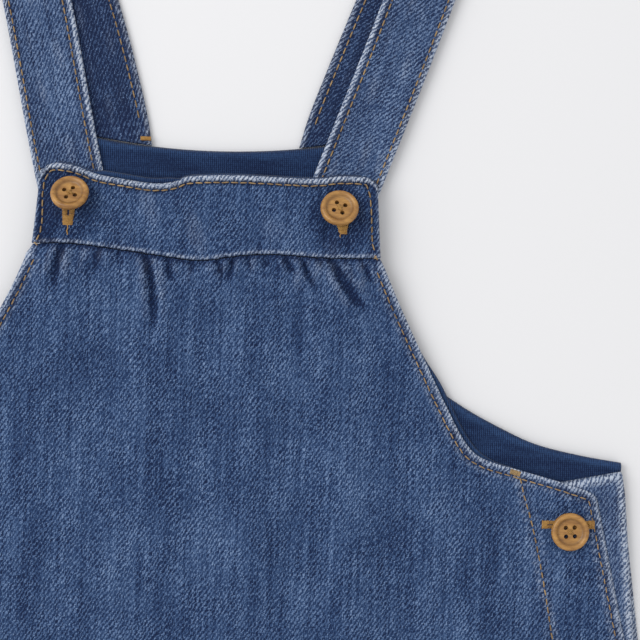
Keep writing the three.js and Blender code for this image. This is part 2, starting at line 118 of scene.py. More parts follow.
# long soft troughs and ridges down the skirt: from x y, to x y, height (troughs below 0), half width
SWELLS = [
    ("left_trough", -40, -18, -36, -150, -0.5, 9),
    ("left_ridge", -18, -26, -9, -150, 0.6, 9),
    ("centre_trough", -4, -14, 14, -120, -0.7, 7),
    ("centre_ridge", 12, -14, 27, -150, 0.6, 8),
    ("right_trough", 36, -24, 49, -150, -0.5, 8),
    ("right_ridge", 52, -24, 62, -150, 0.6, 8),
    ("outer_trough", 72, -60, 84, -160, -0.5, 9),
    ("outer_ridge", 88, -66, 102, -170, 0.5, 10),
    ("far_left_ridge", -60, -30, -66, -150, 0.6, 9),
    ("far_left_trough", -78, -50, -90, -160, -0.5, 9),
]
# soft folds from below the gathers to the hem: x at the seam, x at the hem, start, height, half width
SKIRT_FOLDS = [
    ("left_side", -96, -172, -110, 1.9, 20), ("left", -58, -112, -60, 1.7, 18),
    ("left_centre", -22, -52, -30, 1.4, 16), ("right_centre", 18, 16, -30, 1.5, 15),
    ("right", 50, 84, -45, 1.8, 17), ("right_side", 88, 158, -95, 2.0, 20),
]
# each strap's middle line as x, y: up the back to the shoulder, then down the front to the yoke
STRAPS = {
    "left": {"back": [(-37.2, 44.6), (-48.8, 85), (-62, 122), (-76, 158)],
             "front": [(-78.5, 158), (-76.5, 122), (-68.5, 85), (-56.3, 31), (-48.5, 5)]},
    "right": {"back": [(48.5, 44.6), (64.3, 88), (78, 124), (92, 158)],
              "front": [(93, 158), (86, 122), (75.3, 88), (55.2, 31), (46, 5)]},
}
# name, x, y, then the tilt towards the shoulders and the turn of the four holes in degrees
BUTTONS = [
    ("front_left", -53.8, 20.1, 28, 18), ("front_right", 52, 18.4, 22, -18),
    ("side_left_upper", -148, -105, 0, 30), ("side_left_lower", -160, -158, 0, 8),
    ("side_right_upper", 148, -105, 0, 4), ("side_right_lower", 160, -158, 0, 40),
]


# ---- curves and surfaces -------------------------------------------------------------------------
def ease(start, end, value):
    """0 before start and 1 after end, with a soft rise between them."""
    t = np.clip((np.asarray(value, float) - start) / (end - start), 0, 1)
    return t * t * (3 - 2 * t)


def bump(distance, half):
    """1 at no distance, falling smoothly to 0 over a few half widths."""
    return np.exp(-(np.asarray(distance, float) / half) ** 2)


def smooth_path(rows, step=0.5):
    """A smooth curve through the rows, as points an even step apart."""
    p = np.array(rows, float)
    ends = np.vstack([2 * p[0] - p[1], p, 2 * p[-1] - p[-2]])
    t = np.linspace(0, 1, 40, endpoint=False)[:, None]
    parts = []
    for a, b, c, d in zip(ends, ends[1:], ends[2:], ends[3:]):
        parts.append(0.5 * (2 * b + (c - a) * t + (2 * a - 5 * b + 4 * c - d) * t ** 2
                            + (3 * b - a - 3 * c + d) * t ** 3))
    return even_path(np.vstack(parts + [p[-1:]]), step)


def even_path(points, step=0.5):
    """The same line with its points an even step apart."""
    points = np.asarray(points, float)
    gone = np.concatenate([[0], np.cumsum(np.linalg.norm(np.diff(points, axis=0), axis=1))])
    marks = np.linspace(0, gone[-1], max(2, int(round(gone[-1] / step)) + 1))
    return np.stack([np.interp(marks, gone, points[:, k]) for k in range(points.shape[1])], 1)


def point_at(path, share):
    place = np.clip(np.asarray(share, float), 0, 1) * (len(path) - 1)
    return np.stack([np.interp(place, np.arange(len(path)), path[:, k]) for k in range(path.shape[1])], -1)


def offset_path(path, by):
    """The path moved sideways, to its left for a positive size."""
    way = np.gradient(path, axis=0)
    way /= np.linalg.norm(way, axis=1)[:, None]
    return path + np.stack([-way[:, 1], way[:, 0]], 1) * by


def distance_to(path, x, y):
    """How far each point is from the path, how far along the path, and on which side."""
    x, y = np.broadcast_arrays(np.asarray(x, float), np.asarray(y, float))
    flat = np.stack([x.ravel(), y.ravel()], 1)
    run = np.concatenate([[0], np.cumsum(np.linalg.norm(np.diff(path, axis=0), axis=1))])
    way = np.gradient(path, axis=0)
    away, along, side = np.empty(len(flat)), np.empty(len(flat)), np.empty(len(flat))
    for i in range(0, len(flat), 4096):
        gap = flat[i:i + 4096, None] - path[None]
        near = np.argmin((gap ** 2).sum(2), 1)
        pick = np.arange(len(near))
        off = gap[pick, near]
        tangent = way[near] / np.linalg.norm(way[near], axis=1)[:, None]
        cross = tangent[:, 0] * off[:, 1] - tangent[:, 1] * off[:, 0]
        inner = (near > 0) & (near < len(path) - 1)
        away[i:i + 4096] = np.where(inner, np.abs(cross), np.linalg.norm(off, axis=1))
        along[i:i + 4096] = run[near] + (tangent * off).sum(1)
        side[i:i + 4096] = cross
    return away.reshape(x.shape), along.reshape(x.shape), side.reshape(x.shape)


def level_of(rows):
    """A function that gives the smooth outline's y at any x."""
    path = smooth_path(rows, 0.3)
    return lambda x: np.interp(x, path[:, 0], path[:, 1])


yoke_top_y, yoke_seam_y = level_of(YOKE_TOP), level_of(YOKE_SEAM)
front_armhole, back_armhole = smooth_path(FRONT_ARMHOLE), smooth_path(BACK_ARMHOLE)


def neck_y(x):
    return NECK_CENTRE_Y + NECK_SIDE_RISE * (np.asarray(x) / BACK_ARMHOLE[0][0]) ** 2


def hem_y(x, half=HEM_HALF, side_y=HEM_SIDE_Y):
    return side_y - HEM_DROP * (1 - (np.asarray(x) / half) ** 2)


# ---- stitching lines: paths on the cloth that both the thread and the puckers follow -------------
def flap_edge_path(side_end=SIDE_OPENING_END):
    """The front's edge, from the yoke down the armhole, round the flap's corner and down the side."""
    corner, hem = np.array(FRONT_ARMHOLE[-1]), np.array((HEM_HALF, HEM_SIDE_Y))
    share = (corner[1] - side_end[1]) / (corner[1] - hem[1])
    end = corner + (hem - corner) * share
    bend = [corner + (hem - corner) * 0.012]
    return even_path(np.vstack([front_armhole[:-3], front_armhole[-1:], bend, end[None]]), 0.5)


def yoke_stitch_path():
    xs = np.linspace(-62, 61.5, 90)
    across = np.stack([xs, yoke_top_y(xs) - 3.0], 1)
    left = [(-67.2, 1.4), (-65.6, 5.6), (-65.0, 10.5), (-65.3, 21), (-64.6, 26), (-62.8, 29.3)]
    right = [(62.4, 28.6), (63.6, 25.6), (64.5, 20), (65.0, 13), (65.4, 6.5), (66.9, 0.8)]
    return even_path(np.vstack([left, across, right]), 0.5)


def placket_path():
    return smooth_path([(127.5, -84), (129.8, -92.5), (132.8, -101.8), (135.9, -114), (139, -128),
                        (142.5, -146), (147.5, -170), (152.5, -194)])


def mirrored(path):
    return path * np.array([-1.0, 1.0])


edge_right = flap_edge_path()
armhole_stitch = offset_path(edge_right, -EDGE_STITCH)
armhole_stitch = even_path(armhole_stitch[8:], 0.5)
placket_stitch = placket_path()
yoke_stitch = yoke_stitch_path()
hem_xs = np.linspace(-205, 205, 200)
hem_stitch = even_path(np.stack([hem_xs, hem_y(hem_xs) + 18], 1), 0.5)
FRONT_STITCHES = {
    "armhole_right": armhole_stitch, "armhole_left": mirrored(armhole_stitch),
    "placket_right": placket_stitch, "placket_left": mirrored(placket_stitch), "hem": hem_stitch,
}


def pucker(paths, x, y, groove=0.22, lift=0.12, reach=1.0):
    """The sewn line's groove, with the cloth pulled up a little between its holes."""
    height = np.zeros(np.shape(x))
    for path in paths:
        low, high = path.min(0) - 6, path.max(0) + 6
        near = (x > low[0]) & (x < high[0]) & (y > low[1]) & (y < high[1])
        if not near.any():
            continue
        away, along, _ = distance_to(path, x[near], y[near])
        height[near] -= groove * bump(away, reach)
        height[near] += lift * bump(away, 2.2 * reach) * np.cos(2 * math.pi * along / STITCH_PITCH)
    return height


def between_holes(along):
    """1 half way between two stitch holes and 0 at each hole, along a sewn line."""
    return 0.5 - 0.5 * np.cos(2 * math.pi * along / STITCH_PITCH)


def seeded_wave(x, y, size, seed):
    """A slow, even-tempered unevenness from a few sines."""
    draw = random.Random(seed)
    total = 0
    for _ in range(5):
        turn, phase = draw.uniform(0, math.pi), draw.uniform(0, 6.3)
        long = size * draw.uniform(0.7, 1.5)
        total = total + np.sin((x * math.cos(turn) + y * math.sin(turn)) * 2 * math.pi / long + phase)
    return total / 5


# ---- how high the front lies ---------------------------------------------------------------------
def crease_height(x, y, rows=None):
    """Narrow creases that start at a seam or a button, each with a puff beside it."""
    height = np.zeros(np.shape(x))
    for _, x0, y0, x1, y1, bow, depth, half, puff in rows or CREASES:
        dx, dy = x1 - x0, y1 - y0
        long = math.hypot(dx, dy)
        t = np.clip(((x - x0) * dx + (y - y0) * dy) / long ** 2, -0.2, 1.3)
        off = ((x - x0) * dy - (y - y0) * dx) / long - bow * 4 * np.clip(t, 0, 1) * (1 - np.clip(t, 0, 1))
        beyond = np.maximum(np.abs(t - 0.5) - 0.5, 0) * long
        fade = (1 - ease(0.25, 1.25, t)) * bump(beyond, 3)
        wide = half * (0.85 + 0.5 * np.clip(t, 0, 1))
        height -= 1.15 * depth * fade * bump(off, wide)
        height += puff * fade * (bump(np.abs(off) - 2.1 * wide, 1.3 * wide))
    return height


def swell_height(x, y):
    """The skirt's long soft ridges and troughs."""
    height = np.zeros(np.shape(x))
    for _, x0, y0, x1, y1, rise, half in SWELLS:
        t = (y - y0) / (y1 - y0)
        centre = x0 + (x1 - x0) * t + 1.5 * np.sin(t * 5 + x0)
        height += rise * ease(0, 0.25, t) * (1 - ease(0.7, 1.3, t)) * bump(x - centre, half)
    return height


def front_base(x, y):
    """The face that the front panel lies on: the surface, the lining, a stand or under the yoke."""
    onto_yoke = ease(-26, -3, y) * (1 - ease(72, 84, np.abs(x)))
    onto_lining = ease(-165, -99, y)
    onto_stand = ease(98, 122, np.abs(x)) * ease(-262, -212, y)
    low = SKIRT_Z + (BIB_Z - SKIRT_Z) * onto_lining
    low = low + (FLAP_Z - low) * onto_stand
    return low + (YOKE_Z - low) * onto_yoke


def fold_height(x, y):
    """What gathers, creases, ridges and folds add over that face."""
    gathered = 1.7 * ease(-80, -12, y) * (1 - ease(54, 72, np.abs(x)))
    on_flap = ease(104, 126, np.abs(x)) * ease(-240, -192, y)
    folds = 0
    for _, x0, x1, start, rise, half in SKIRT_FOLDS:
        centre = x0 + (x1 - x0) * y / HEM_SIDE_Y
        folds = folds + rise * ease(start, start - 110, y) * bump(x - centre, half)
    tucked = bump(y - yoke_seam_y(np.clip(x, -68, 68)), 2.2) * (np.abs(x) < 70)
    soft = 0.5 * (1 + seeded_wave(x, y, 34, 5)) * 0.5 + 0.12 * seeded_wave(x, y, 13, 8)
    soft = soft + 0.85 * seeded_wave(x, y * 0.25, 6.5, 41) * ease(-20, -3, y) * (1 - ease(66, 72, np.abs(x)))
    shape = 0.3 + gathered + crease_height(x, y) + swell_height(x, y) * (1 - on_flap)
    shape = shape + folds * (1 - on_flap) + soft * (1 - 0.8 * on_flap) - 1.3 * tucked
    return np.maximum(shape, 0.02)


def front_top(x, y):
    """How high the front panel's face lies."""
    return front_base(x, y) + fold_height(x, y) + PANEL_THICK


# ---- meshes --------------------------------------------------------------------------------------
def to_frame(points):
    """The script's millimetres as the frame's metres."""
    points = np.array(points, float).reshape(-1, 3)
    points[:, 1] += RISE_Y
    return points * MM


def new_piece(name, points, faces, cloth=None, marks=None):
    """A mesh with its cloth coordinates, its worn mark and its mark of painted shade and less faded dye,
    riding on the one body.
    """
    mesh = bpy.data.meshes.new(name)
    mesh.from_pydata(to_frame(points).tolist(), [], [tuple(f) for f in faces])
    if cloth is not None:
        cloth = np.asarray(cloth, float).reshape(-1, 2)
        loops = np.empty(len(mesh.loops), np.int32)
        mesh.loops.foreach_get("vertex_index", loops)
        mesh.uv_layers.new(name="cloth").data.foreach_set("uv", cloth[loops].ravel())
    for word, value in (marks or {}).items():
        layer = mesh.attributes.new(word, "FLOAT", "POINT")
        layer.data.foreach_set("value", np.clip(np.asarray(value, float).ravel(), 0, 1))
    mesh.polygons.foreach_set("use_smooth", [True] * len(mesh.polygons))
    mesh.update()
    piece = bpy.data.objects.new(name, mesh)
    bpy.context.scene.collection.objects.link(piece)
    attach(piece, "root")
    return piece


def grid_faces(rows, columns, closed=False):
    """Four-sided faces of a grid of points; closed joins its last column to its first."""
    faces = []
    for r in range(rows - 1):
        for c in range(columns if closed else columns - 1):
            a, b = r * columns + c, r * columns + (c + 1) % columns
            faces.append((a, b, b + columns, a + columns))
    return faces


def cloth_piece(name, grid, cloth, marks, thickness, material):
    """A grid of points made into cloth that is thick downwards from its face."""
    rows, columns = grid.shape[:2]
    piece = new_piece(name, grid, grid_faces(rows, columns), cloth, marks)
    solid = piece.modifiers.new("thickness", "SOLIDIFY")
    solid.thickness, solid.offset = thickness * MM, -1
    piece.data.materials.append(material)
    return piece


def round_edge(inside, radius):
    """How much lower the cloth's face is near an edge, where it turns over."""
    t = np.clip(1 - inside / radius, 0, 1)
    return radius * (1 - np.sqrt(1 - t ** 2 * 0.98))


# ---- shader node helpers -------------------------------------------------------------------------
class Nodes:
    """Short words for making shader nodes in one tree."""

    def __init__(self, tree):
        self.tree, self.nodes = tree, tree.nodes

    def put(self, socket, value):
        if value is None:
            return
        if hasattr(value, "is_output"):
            self.tree.links.new(value, socket)
        elif hasattr(value, "__len__") and len(value) == 3 and socket.type == "RGBA":
            socket.default_value = (*value, 1)
        else:
            socket.default_value = value

    def node(self, kind, inputs=None, **settings):
        made = self.nodes.new(kind)
        for key, value in settings.items():
            setattr(made, key, value)
        for key, value in (inputs or {}).items():
            self.put(made.inputs[key], value)
        return made

    def math(self, operation, a, b=None, c=None, clamp=False):
        made = self.node("ShaderNodeMath", operation=operation, use_clamp=clamp)
        for socket, value in zip(made.inputs, (a, b, c)):
            self.put(socket, value)
        return made.outputs[0]

    def spread(self, value, low, high, to_low=0.0, to_high=1.0, smooth=False):
        made = self.node("ShaderNodeMapRange", {"Value": value, "From Min": low, "From Max": high,
                                                "To Min": to_low, "To Max": to_high})
        made.interpolation_type = "SMOOTHSTEP" if smooth else "LINEAR"
        return made.outputs["Result"]

    def blend(self, share, a, b):
        made = self.node("ShaderNodeMix", data_type="RGBA", blend_type="MIX")
        made.clamp_factor = True
        for index, value in ((0, share), (6, a), (7, b)):
            self.put(made.inputs[index], value)
        return made.outputs[2]

    def stretch(self, vector, x, y, z=1.0):
        made = self.node("ShaderNodeVectorMath", {0: vector, 1: (x, y, z)}, operation="MULTIPLY")
        return made.outputs["Vector"]

    def added(self, vector, other):
        return self.node("ShaderNodeVectorMath", {0: vector, 1: other}, operation="ADD").outputs[0]

    def noise(self, vector, scale=1.0, detail=2.0, rough=0.5, twist=0.0):
        made = self.node("ShaderNodeTexNoise", {"Vector": vector, "Scale": scale, "Detail": detail,
                                                "Roughness": rough, "Distortion": twist})
        return made.outputs["Fac"]

    def parts(self, vector):
        made = self.node("ShaderNodeSeparateXYZ", {"Vector": vector})
        return made.outputs[0], made.outputs[1], made.outputs[2]


def new_group(name, inputs, outputs):
    tree = bpy.data.node_groups.new(name, "ShaderNodeTree")
    for word, kind, value in inputs:
        socket = tree.interface.new_socket(word, in_out="INPUT", socket_type=kind)
        if value is not None:
            socket.default_value = value
    for word, kind in outputs:
        tree.interface.new_socket(word, in_out="OUTPUT", socket_type=kind)
    make = Nodes(tree)
    return tree, make, make.node("NodeGroupInput").outputs, make.node("NodeGroupOutput").inputs


def srgb(red, green, blue):
    """A colour written in the 0 to 255 values seen on the cloth, as the shader's own values."""
    parts = (red, green, blue)
    return tuple(((v / 255 + 0.055) / 1.055) ** 2.4 if v > 10 else v / 255 / 12.92 for v in parts)


TWILL_ACROSS, TWILL_UP = 0.624, -0.405      # twill lines in each millimetre across and up the cloth


def make_denim_group():
    """Washed twill: broken slanting lines, flecks and faded patches, pale where worn, and dark where its
    second mark is high, which is painted shade in creases, grooves and under parts, and less faded dye.
    """
    tree, n, given, out = new_group(
        "washed denim",
        [("Cloth", "NodeSocketVector", None), ("Worn", "NodeSocketFloat", 0.0),
         ("Shade_and_dye", "NodeSocketFloat", 0.0), ("Seed", "NodeSocketFloat", 0.0),
         ("Tone", "NodeSocketFloat", 1.0)],
        [("Colour", "NodeSocketColor"), ("Height", "NodeSocketFloat")])
    shift = n.node("ShaderNodeCombineXYZ", {"X": given["Seed"], "Y": given["Seed"], "Z": given["Seed"]})
    place = n.added(given["Cloth"], shift.outputs[0])
    across, up, _ = n.parts(given["Cloth"])
    sway = n.noise(n.stretch(place, 0.16, 0.05), 1, 2)
    jitter = n.noise(n.stretch(place, 1.1, 0.8), 1, 1)
    lines = n.math("MULTIPLY_ADD", across, TWILL_ACROSS, n.math("MULTIPLY", up, TWILL_UP))
    lines = n.math("MULTIPLY_ADD", n.math("SUBTRACT", sway, 0.5), 1.8, lines)
    lines = n.math("MULTIPLY_ADD", n.math("SUBTRACT", jitter, 0.5), 1.5, lines)
    wave = n.math("SINE", n.math("MULTIPLY", lines, 2 * math.pi))
    yarn = n.noise(n.stretch(place, 2.3, 0.62), 1, 2, 0.6)
    grain = n.noise(n.stretch(place, 1.9, 1.5), 1, 2, 0.65)
    rough_wave = n.math("MULTIPLY_ADD", n.math("SUBTRACT", grain, 0.5), 2.6, wave)
    rib = n.spread(rough_wave, -1.0, 0.9, smooth=True)
    slub = n.noise(n.stretch(place, 0.75, 0.02), 1, 2, 0.6)
    cloud = n.noise(n.stretch(place, 0.055, 0.03), 1, 3, 0.55)
    light = n.math("MULTIPLY_ADD", n.math("SUBTRACT", yarn, 0.5), 1.35, 0.34)
    light = n.math("MULTIPLY_ADD", n.math("SUBTRACT", slub, 0.5), 0.7, light)
    light = n.math("MULTIPLY_ADD", n.math("SUBTRACT", cloud, 0.5), 0.6, light)
    bold = n.spread(n.noise(n.stretch(place, 0.11, 0.07), 1, 2), 0.35, 0.65, 0.26, 0.52)
    light = n.math("MULTIPLY_ADD", n.math("SUBTRACT", rib, 0.5), bold, light)
    speck = n.noise(n.stretch(place, 3.4, 2.6), 1, 1, 0.5)
    fleck = n.math("MULTIPLY", n.spread(speck, 0.56, 0.70, smooth=True), n.spread(wave, -0.5, 0.7))
    light = n.math("MULTIPLY_ADD", fleck, 0.62, light)
    light = n.math("MULTIPLY_ADD", given["Worn"], 0.3, light)
    # painted shade and less faded dye: the second mark darkens the colour here
    light = n.math("MULTIPLY_ADD", given["Shade_and_dye"], -0.42, light, clamp=True)
    ramp = n.node("ShaderNodeValToRGB", {"Fac": light})
    stops = [(0.0, srgb(11, 28, 62)), (0.22, srgb(30, 52, 90)), (0.45, srgb(52, 76, 114)),
             (0.7, srgb(82, 106, 145)), (1.0, srgb(132, 154, 186))]
    while len(ramp.color_ramp.elements) < len(stops):
        ramp.color_ramp.elements.new(0.5)
    for element, (position, colour) in zip(ramp.color_ramp.elements, stops):
        element.position, element.color = position, (*colour, 1)
    strand = n.math("MULTIPLY_ADD", rib, 0.75, n.math("ADD", light, n.math("MULTIPLY", speck, 0.9)))
    pale = n.math("MULTIPLY", given["Worn"], n.spread(strand, 1.0, 1.75, 0.12, 1.0))
    colour = n.blend(pale, ramp.outputs["Color"], srgb(200, 208, 221))
    toned = n.node("ShaderNodeHueSaturation", {"Color": colour, "Value": given["Tone"]})
    n.put(out["Colour"], toned.outputs["Color"])
    height = n.math("MULTIPLY_ADD", rib, 0.7, n.math("MULTIPLY", yarn, 0.5))
    n.put(out["Height"], height)
    return tree


def make_knit_group():
    """Fine ribbed knit with soft bands of painted shade, lighter on its rolled edge."""
    tree, n, given, out = new_group(
        "fine knit",
        [("Cloth", "NodeSocketVector", None), ("Worn", "NodeSocketFloat", 0.0)],
        [("Colour", "NodeSocketColor"), ("Height", "NodeSocketFloat")])
    across, up, _ = n.parts(given["Cloth"])
    sway = n.noise(n.stretch(given["Cloth"], 0.12, 0.05), 1, 2)
    rows = n.math("MULTIPLY_ADD", n.math("SUBTRACT", sway, 0.5), 0.9, n.math("MULTIPLY", across, 1.25))
    wale = n.math("ABSOLUTE", n.math("SINE", n.math("MULTIPLY", rows, math.pi)))
    lean = n.math("MULTIPLY_ADD", n.math("PINGPONG", rows, 0.5), 1.2, n.math("MULTIPLY", up, 1.25))
    loop = n.math("SINE", n.math("MULTIPLY", lean, 2 * math.pi))
    grain = n.noise(n.stretch(given["Cloth"], 1.6, 0.8), 1, 2, 0.6)
    cloud = n.noise(given["Cloth"], 0.05, 2)
    shade_band = n.noise(n.stretch(given["Cloth"], 0.035, 0.3), 1, 2, 0.5)
    light = n.math("MULTIPLY_ADD", wale, 0.85, n.math("MULTIPLY", loop, 0.16))
    light = n.math("MULTIPLY_ADD", n.math("SUBTRACT", grain, 0.5), 1.3, light)
    # painted shade: soft bands across the knit
    light = n.math("MULTIPLY_ADD", n.math("SUBTRACT", shade_band, 0.5), 0.9, light)
    light = n.math("MULTIPLY_ADD", n.math("SUBTRACT", cloud, 0.5), 0.5, light)
    light = n.math("MULTIPLY_ADD", given["Worn"], 0.5, n.math("ADD", light, -0.38), clamp=True)
    colour = n.blend(light, srgb(11, 27, 60), srgb(50, 78, 120))
    n.put(out["Colour"], colour)
    n.put(out["Height"], n.math("MULTIPLY_ADD", wale, 0.8, n.math("MULTIPLY", loop, 0.2)))
    return tree


def new_material(name):
    material = bpy.data.materials.new(name)
    material.use_nodes = True
    n = Nodes(material.node_tree)
    shader = material.node_tree.nodes["Principled BSDF"]
    return material, n, shader


def mark(n, word):
    return n.node("ShaderNodeAttribute", attribute_name=word).outputs["Fac"]


def surface(n, shader, made, strength, depth):
    """Joins an effect's colour and relief to the shader."""
    bumped = n.node("ShaderNodeBump", {"Strength": strength, "Distance": depth * MM,
                                       "Height": made.outputs["Height"]})
    n.put(shader.inputs["Base Color"], made.outputs["Colour"])
    n.put(shader.inputs["Normal"], bumped.outputs["Normal"])


def finish_cloth(n, shader, made, roughness, sheen, depth):
    surface(n, shader, made, 0.7, depth)
    shader.inputs["Roughness"].default_value = roughness
    shader.inputs["Specular IOR Level"].default_value = 0.2
    shader.inputs["Sheen Weight"].default_value = sheen
    shader.inputs["Sheen Roughness"].default_value = 0.5


def denim(name, seed):
    material, n, shader = new_material(name)
    cloth = n.node("ShaderNodeUVMap", uv_map="cloth").outputs[0]
    made = n.node("ShaderNodeGroup", node_tree=DENIM)
    for word, value in (("Cloth", cloth), ("Worn", mark(n, "worn")), ("Shade_and_dye", mark(n, "shade_and_dye")),
                        ("Seed", seed), ("Tone", 1.0)):
        n.put(made.inputs[word], value)
    finish_cloth(n, shader, made, roughness=0.86, sheen=0.05, depth=0.28)
    return material


def knit(name):
    material, n, shader = new_material(name)
    cloth = n.node("ShaderNodeUVMap", uv_map="cloth").outputs[0]
    made = n.node("ShaderNodeGroup", node_tree=KNIT)
    for word, value in (("Cloth", cloth), ("Worn", mark(n, "worn"))):
        n.put(made.inputs[word], value)
    finish_cloth(n, shader, made, roughness=0.92, sheen=0.08, depth=0.22)
    return material


def make_thread_group():
    """Twisted thread between a dark and a light colour."""
    tree, n, given, out = new_group(
        "twisted thread",
        [("Place", "NodeSocketVector", None), ("Dark", "NodeSocketColor", None),
         ("Light", "NodeSocketColor", None)],
        [("Colour", "NodeSocketColor"), ("Height", "NodeSocketFloat")])
    fibre = n.noise(given["Place"], 1500, 2, 0.6)
    slow = n.noise(given["Place"], 90, 2)
    share = n.spread(n.math("MULTIPLY_ADD", slow, 0.7, n.math("MULTIPLY", fibre, 0.5)), 0.38, 0.82)
    n.put(out["Colour"], n.blend(share, given["Dark"], given["Light"]))
    n.put(out["Height"], fibre)
    return tree


def make_wood_group():
    """Turned wood with rings and pores, and painted shade in its holes and grooves."""
    tree, n, given, out = new_group(
        "turned wood",
        [("Place", "NodeSocketVector", None), ("Seed", "NodeSocketFloat", 0.0),
         ("Shade_and_dye", "NodeSocketFloat", 0.0)],
        [("Colour", "NodeSocketColor"), ("Height", "NodeSocketFloat")])
    shift = n.node("ShaderNodeCombineXYZ", {"X": given["Seed"], "Y": given["Seed"], "Z": 0.0})
    moved = n.added(given["Place"], shift.outputs[0])
    rings = n.noise(n.stretch(moved, 150, 520, 300), 1, 3, 0.6, 0.8)
    pores = n.noise(n.stretch(moved, 450, 2200, 1500), 1, 2, 0.6)
    blot = n.noise(moved, 220, 2)
    share = n.math("MULTIPLY_ADD", rings, 0.9, n.math("MULTIPLY", blot, 0.4))
    colour = n.blend(n.spread(share, 0.4, 0.9), srgb(132, 88, 38), srgb(190, 142, 74))
    colour = n.blend(n.spread(pores, 0.30, 0.42, 0.45, 1.0), srgb(108, 66, 28), colour)
    # painted shade: dark brown in the holes and in the groove inside the rim
    n.put(out["Colour"], n.blend(n.math("MULTIPLY", given["Shade_and_dye"], 0.85), colour, srgb(62, 34, 14)))
    n.put(out["Height"], pores)
    return tree


def thread(name, dark, light):
    material, n, shader = new_material(name)
    made = n.node("ShaderNodeGroup", node_tree=THREAD)
    n.put(made.inputs["Place"], n.node("ShaderNodeTexCoord").outputs["Object"])
    n.put(made.inputs["Dark"], dark)
    n.put(made.inputs["Light"], light)
    surface(n, shader, made, 0.5, 0.1)
    shader.inputs["Roughness"].default_value = 0.7
    shader.inputs["Sheen Weight"].default_value = 0.1
    return material


def turned_wood(name, seed):
    material, n, shader = new_material(name)
    made = n.node("ShaderNodeGroup", node_tree=WOOD)
    for word, value in (("Place", n.node("ShaderNodeTexCoord").outputs["Object"]), ("Seed", seed),
                        ("Shade_and_dye", mark(n, "shade_and_dye"))):
        n.put(made.inputs[word], value)
    surface(n, shader, made, 0.2, 0.1)
    shader.inputs["Roughness"].default_value = 0.42
    shader.inputs["Coat Weight"].default_value = 0.2
    shader.inputs["Coat Roughness"].default_value = 0.3
    return material


DENIM, KNIT, THREAD, WOOD = make_denim_group(), make_knit_group(), make_thread_group(), make_wood_group()
TAN = thread("tan_thread", srgb(104, 82, 54), srgb(176, 146, 100))
OCHRE = thread("ochre_thread", srgb(128, 88, 36), srgb(190, 146, 74))


# ---- the front panel -----------------------------------------------------------------------------
def front_grid(columns=236, rows=178):
    share = np.linspace(-1, 1, columns)
    down = np.linspace(0, 1, rows) ** 1.3
    seam_x = np.clip(share * 2, -1, 1) * YOKE_HALF
    arm = point_at(front_armhole, (np.abs(share) - 0.5) * 2)
    outer = np.abs(share) > 0.5
    top_x = np.where(outer, np.sign(share) * arm[:, 0], seam_x)
    lift = yoke_seam_y(np.sign(share) * 68.9) * (1 - ease(0.5, 0.6, np.abs(share)))
    top_y = np.where(outer, arm[:, 1] + lift, yoke_seam_y(seam_x)) - 0.2
    reach = np.where(outer, HEM_SEAM_SHARE + (HEM_HALF - HEM_SEAM_SHARE) * (np.abs(share) - 0.5) * 2,
                     np.abs(share) * 2 * HEM_SEAM_SHARE)
    hem_x = np.sign(share) * reach
    x = top_x + (hem_x - top_x) * down[:, None]
    y = top_y + (hem_y(hem_x) - top_y) * down[:, None]
    return x[::-1], y[::-1]


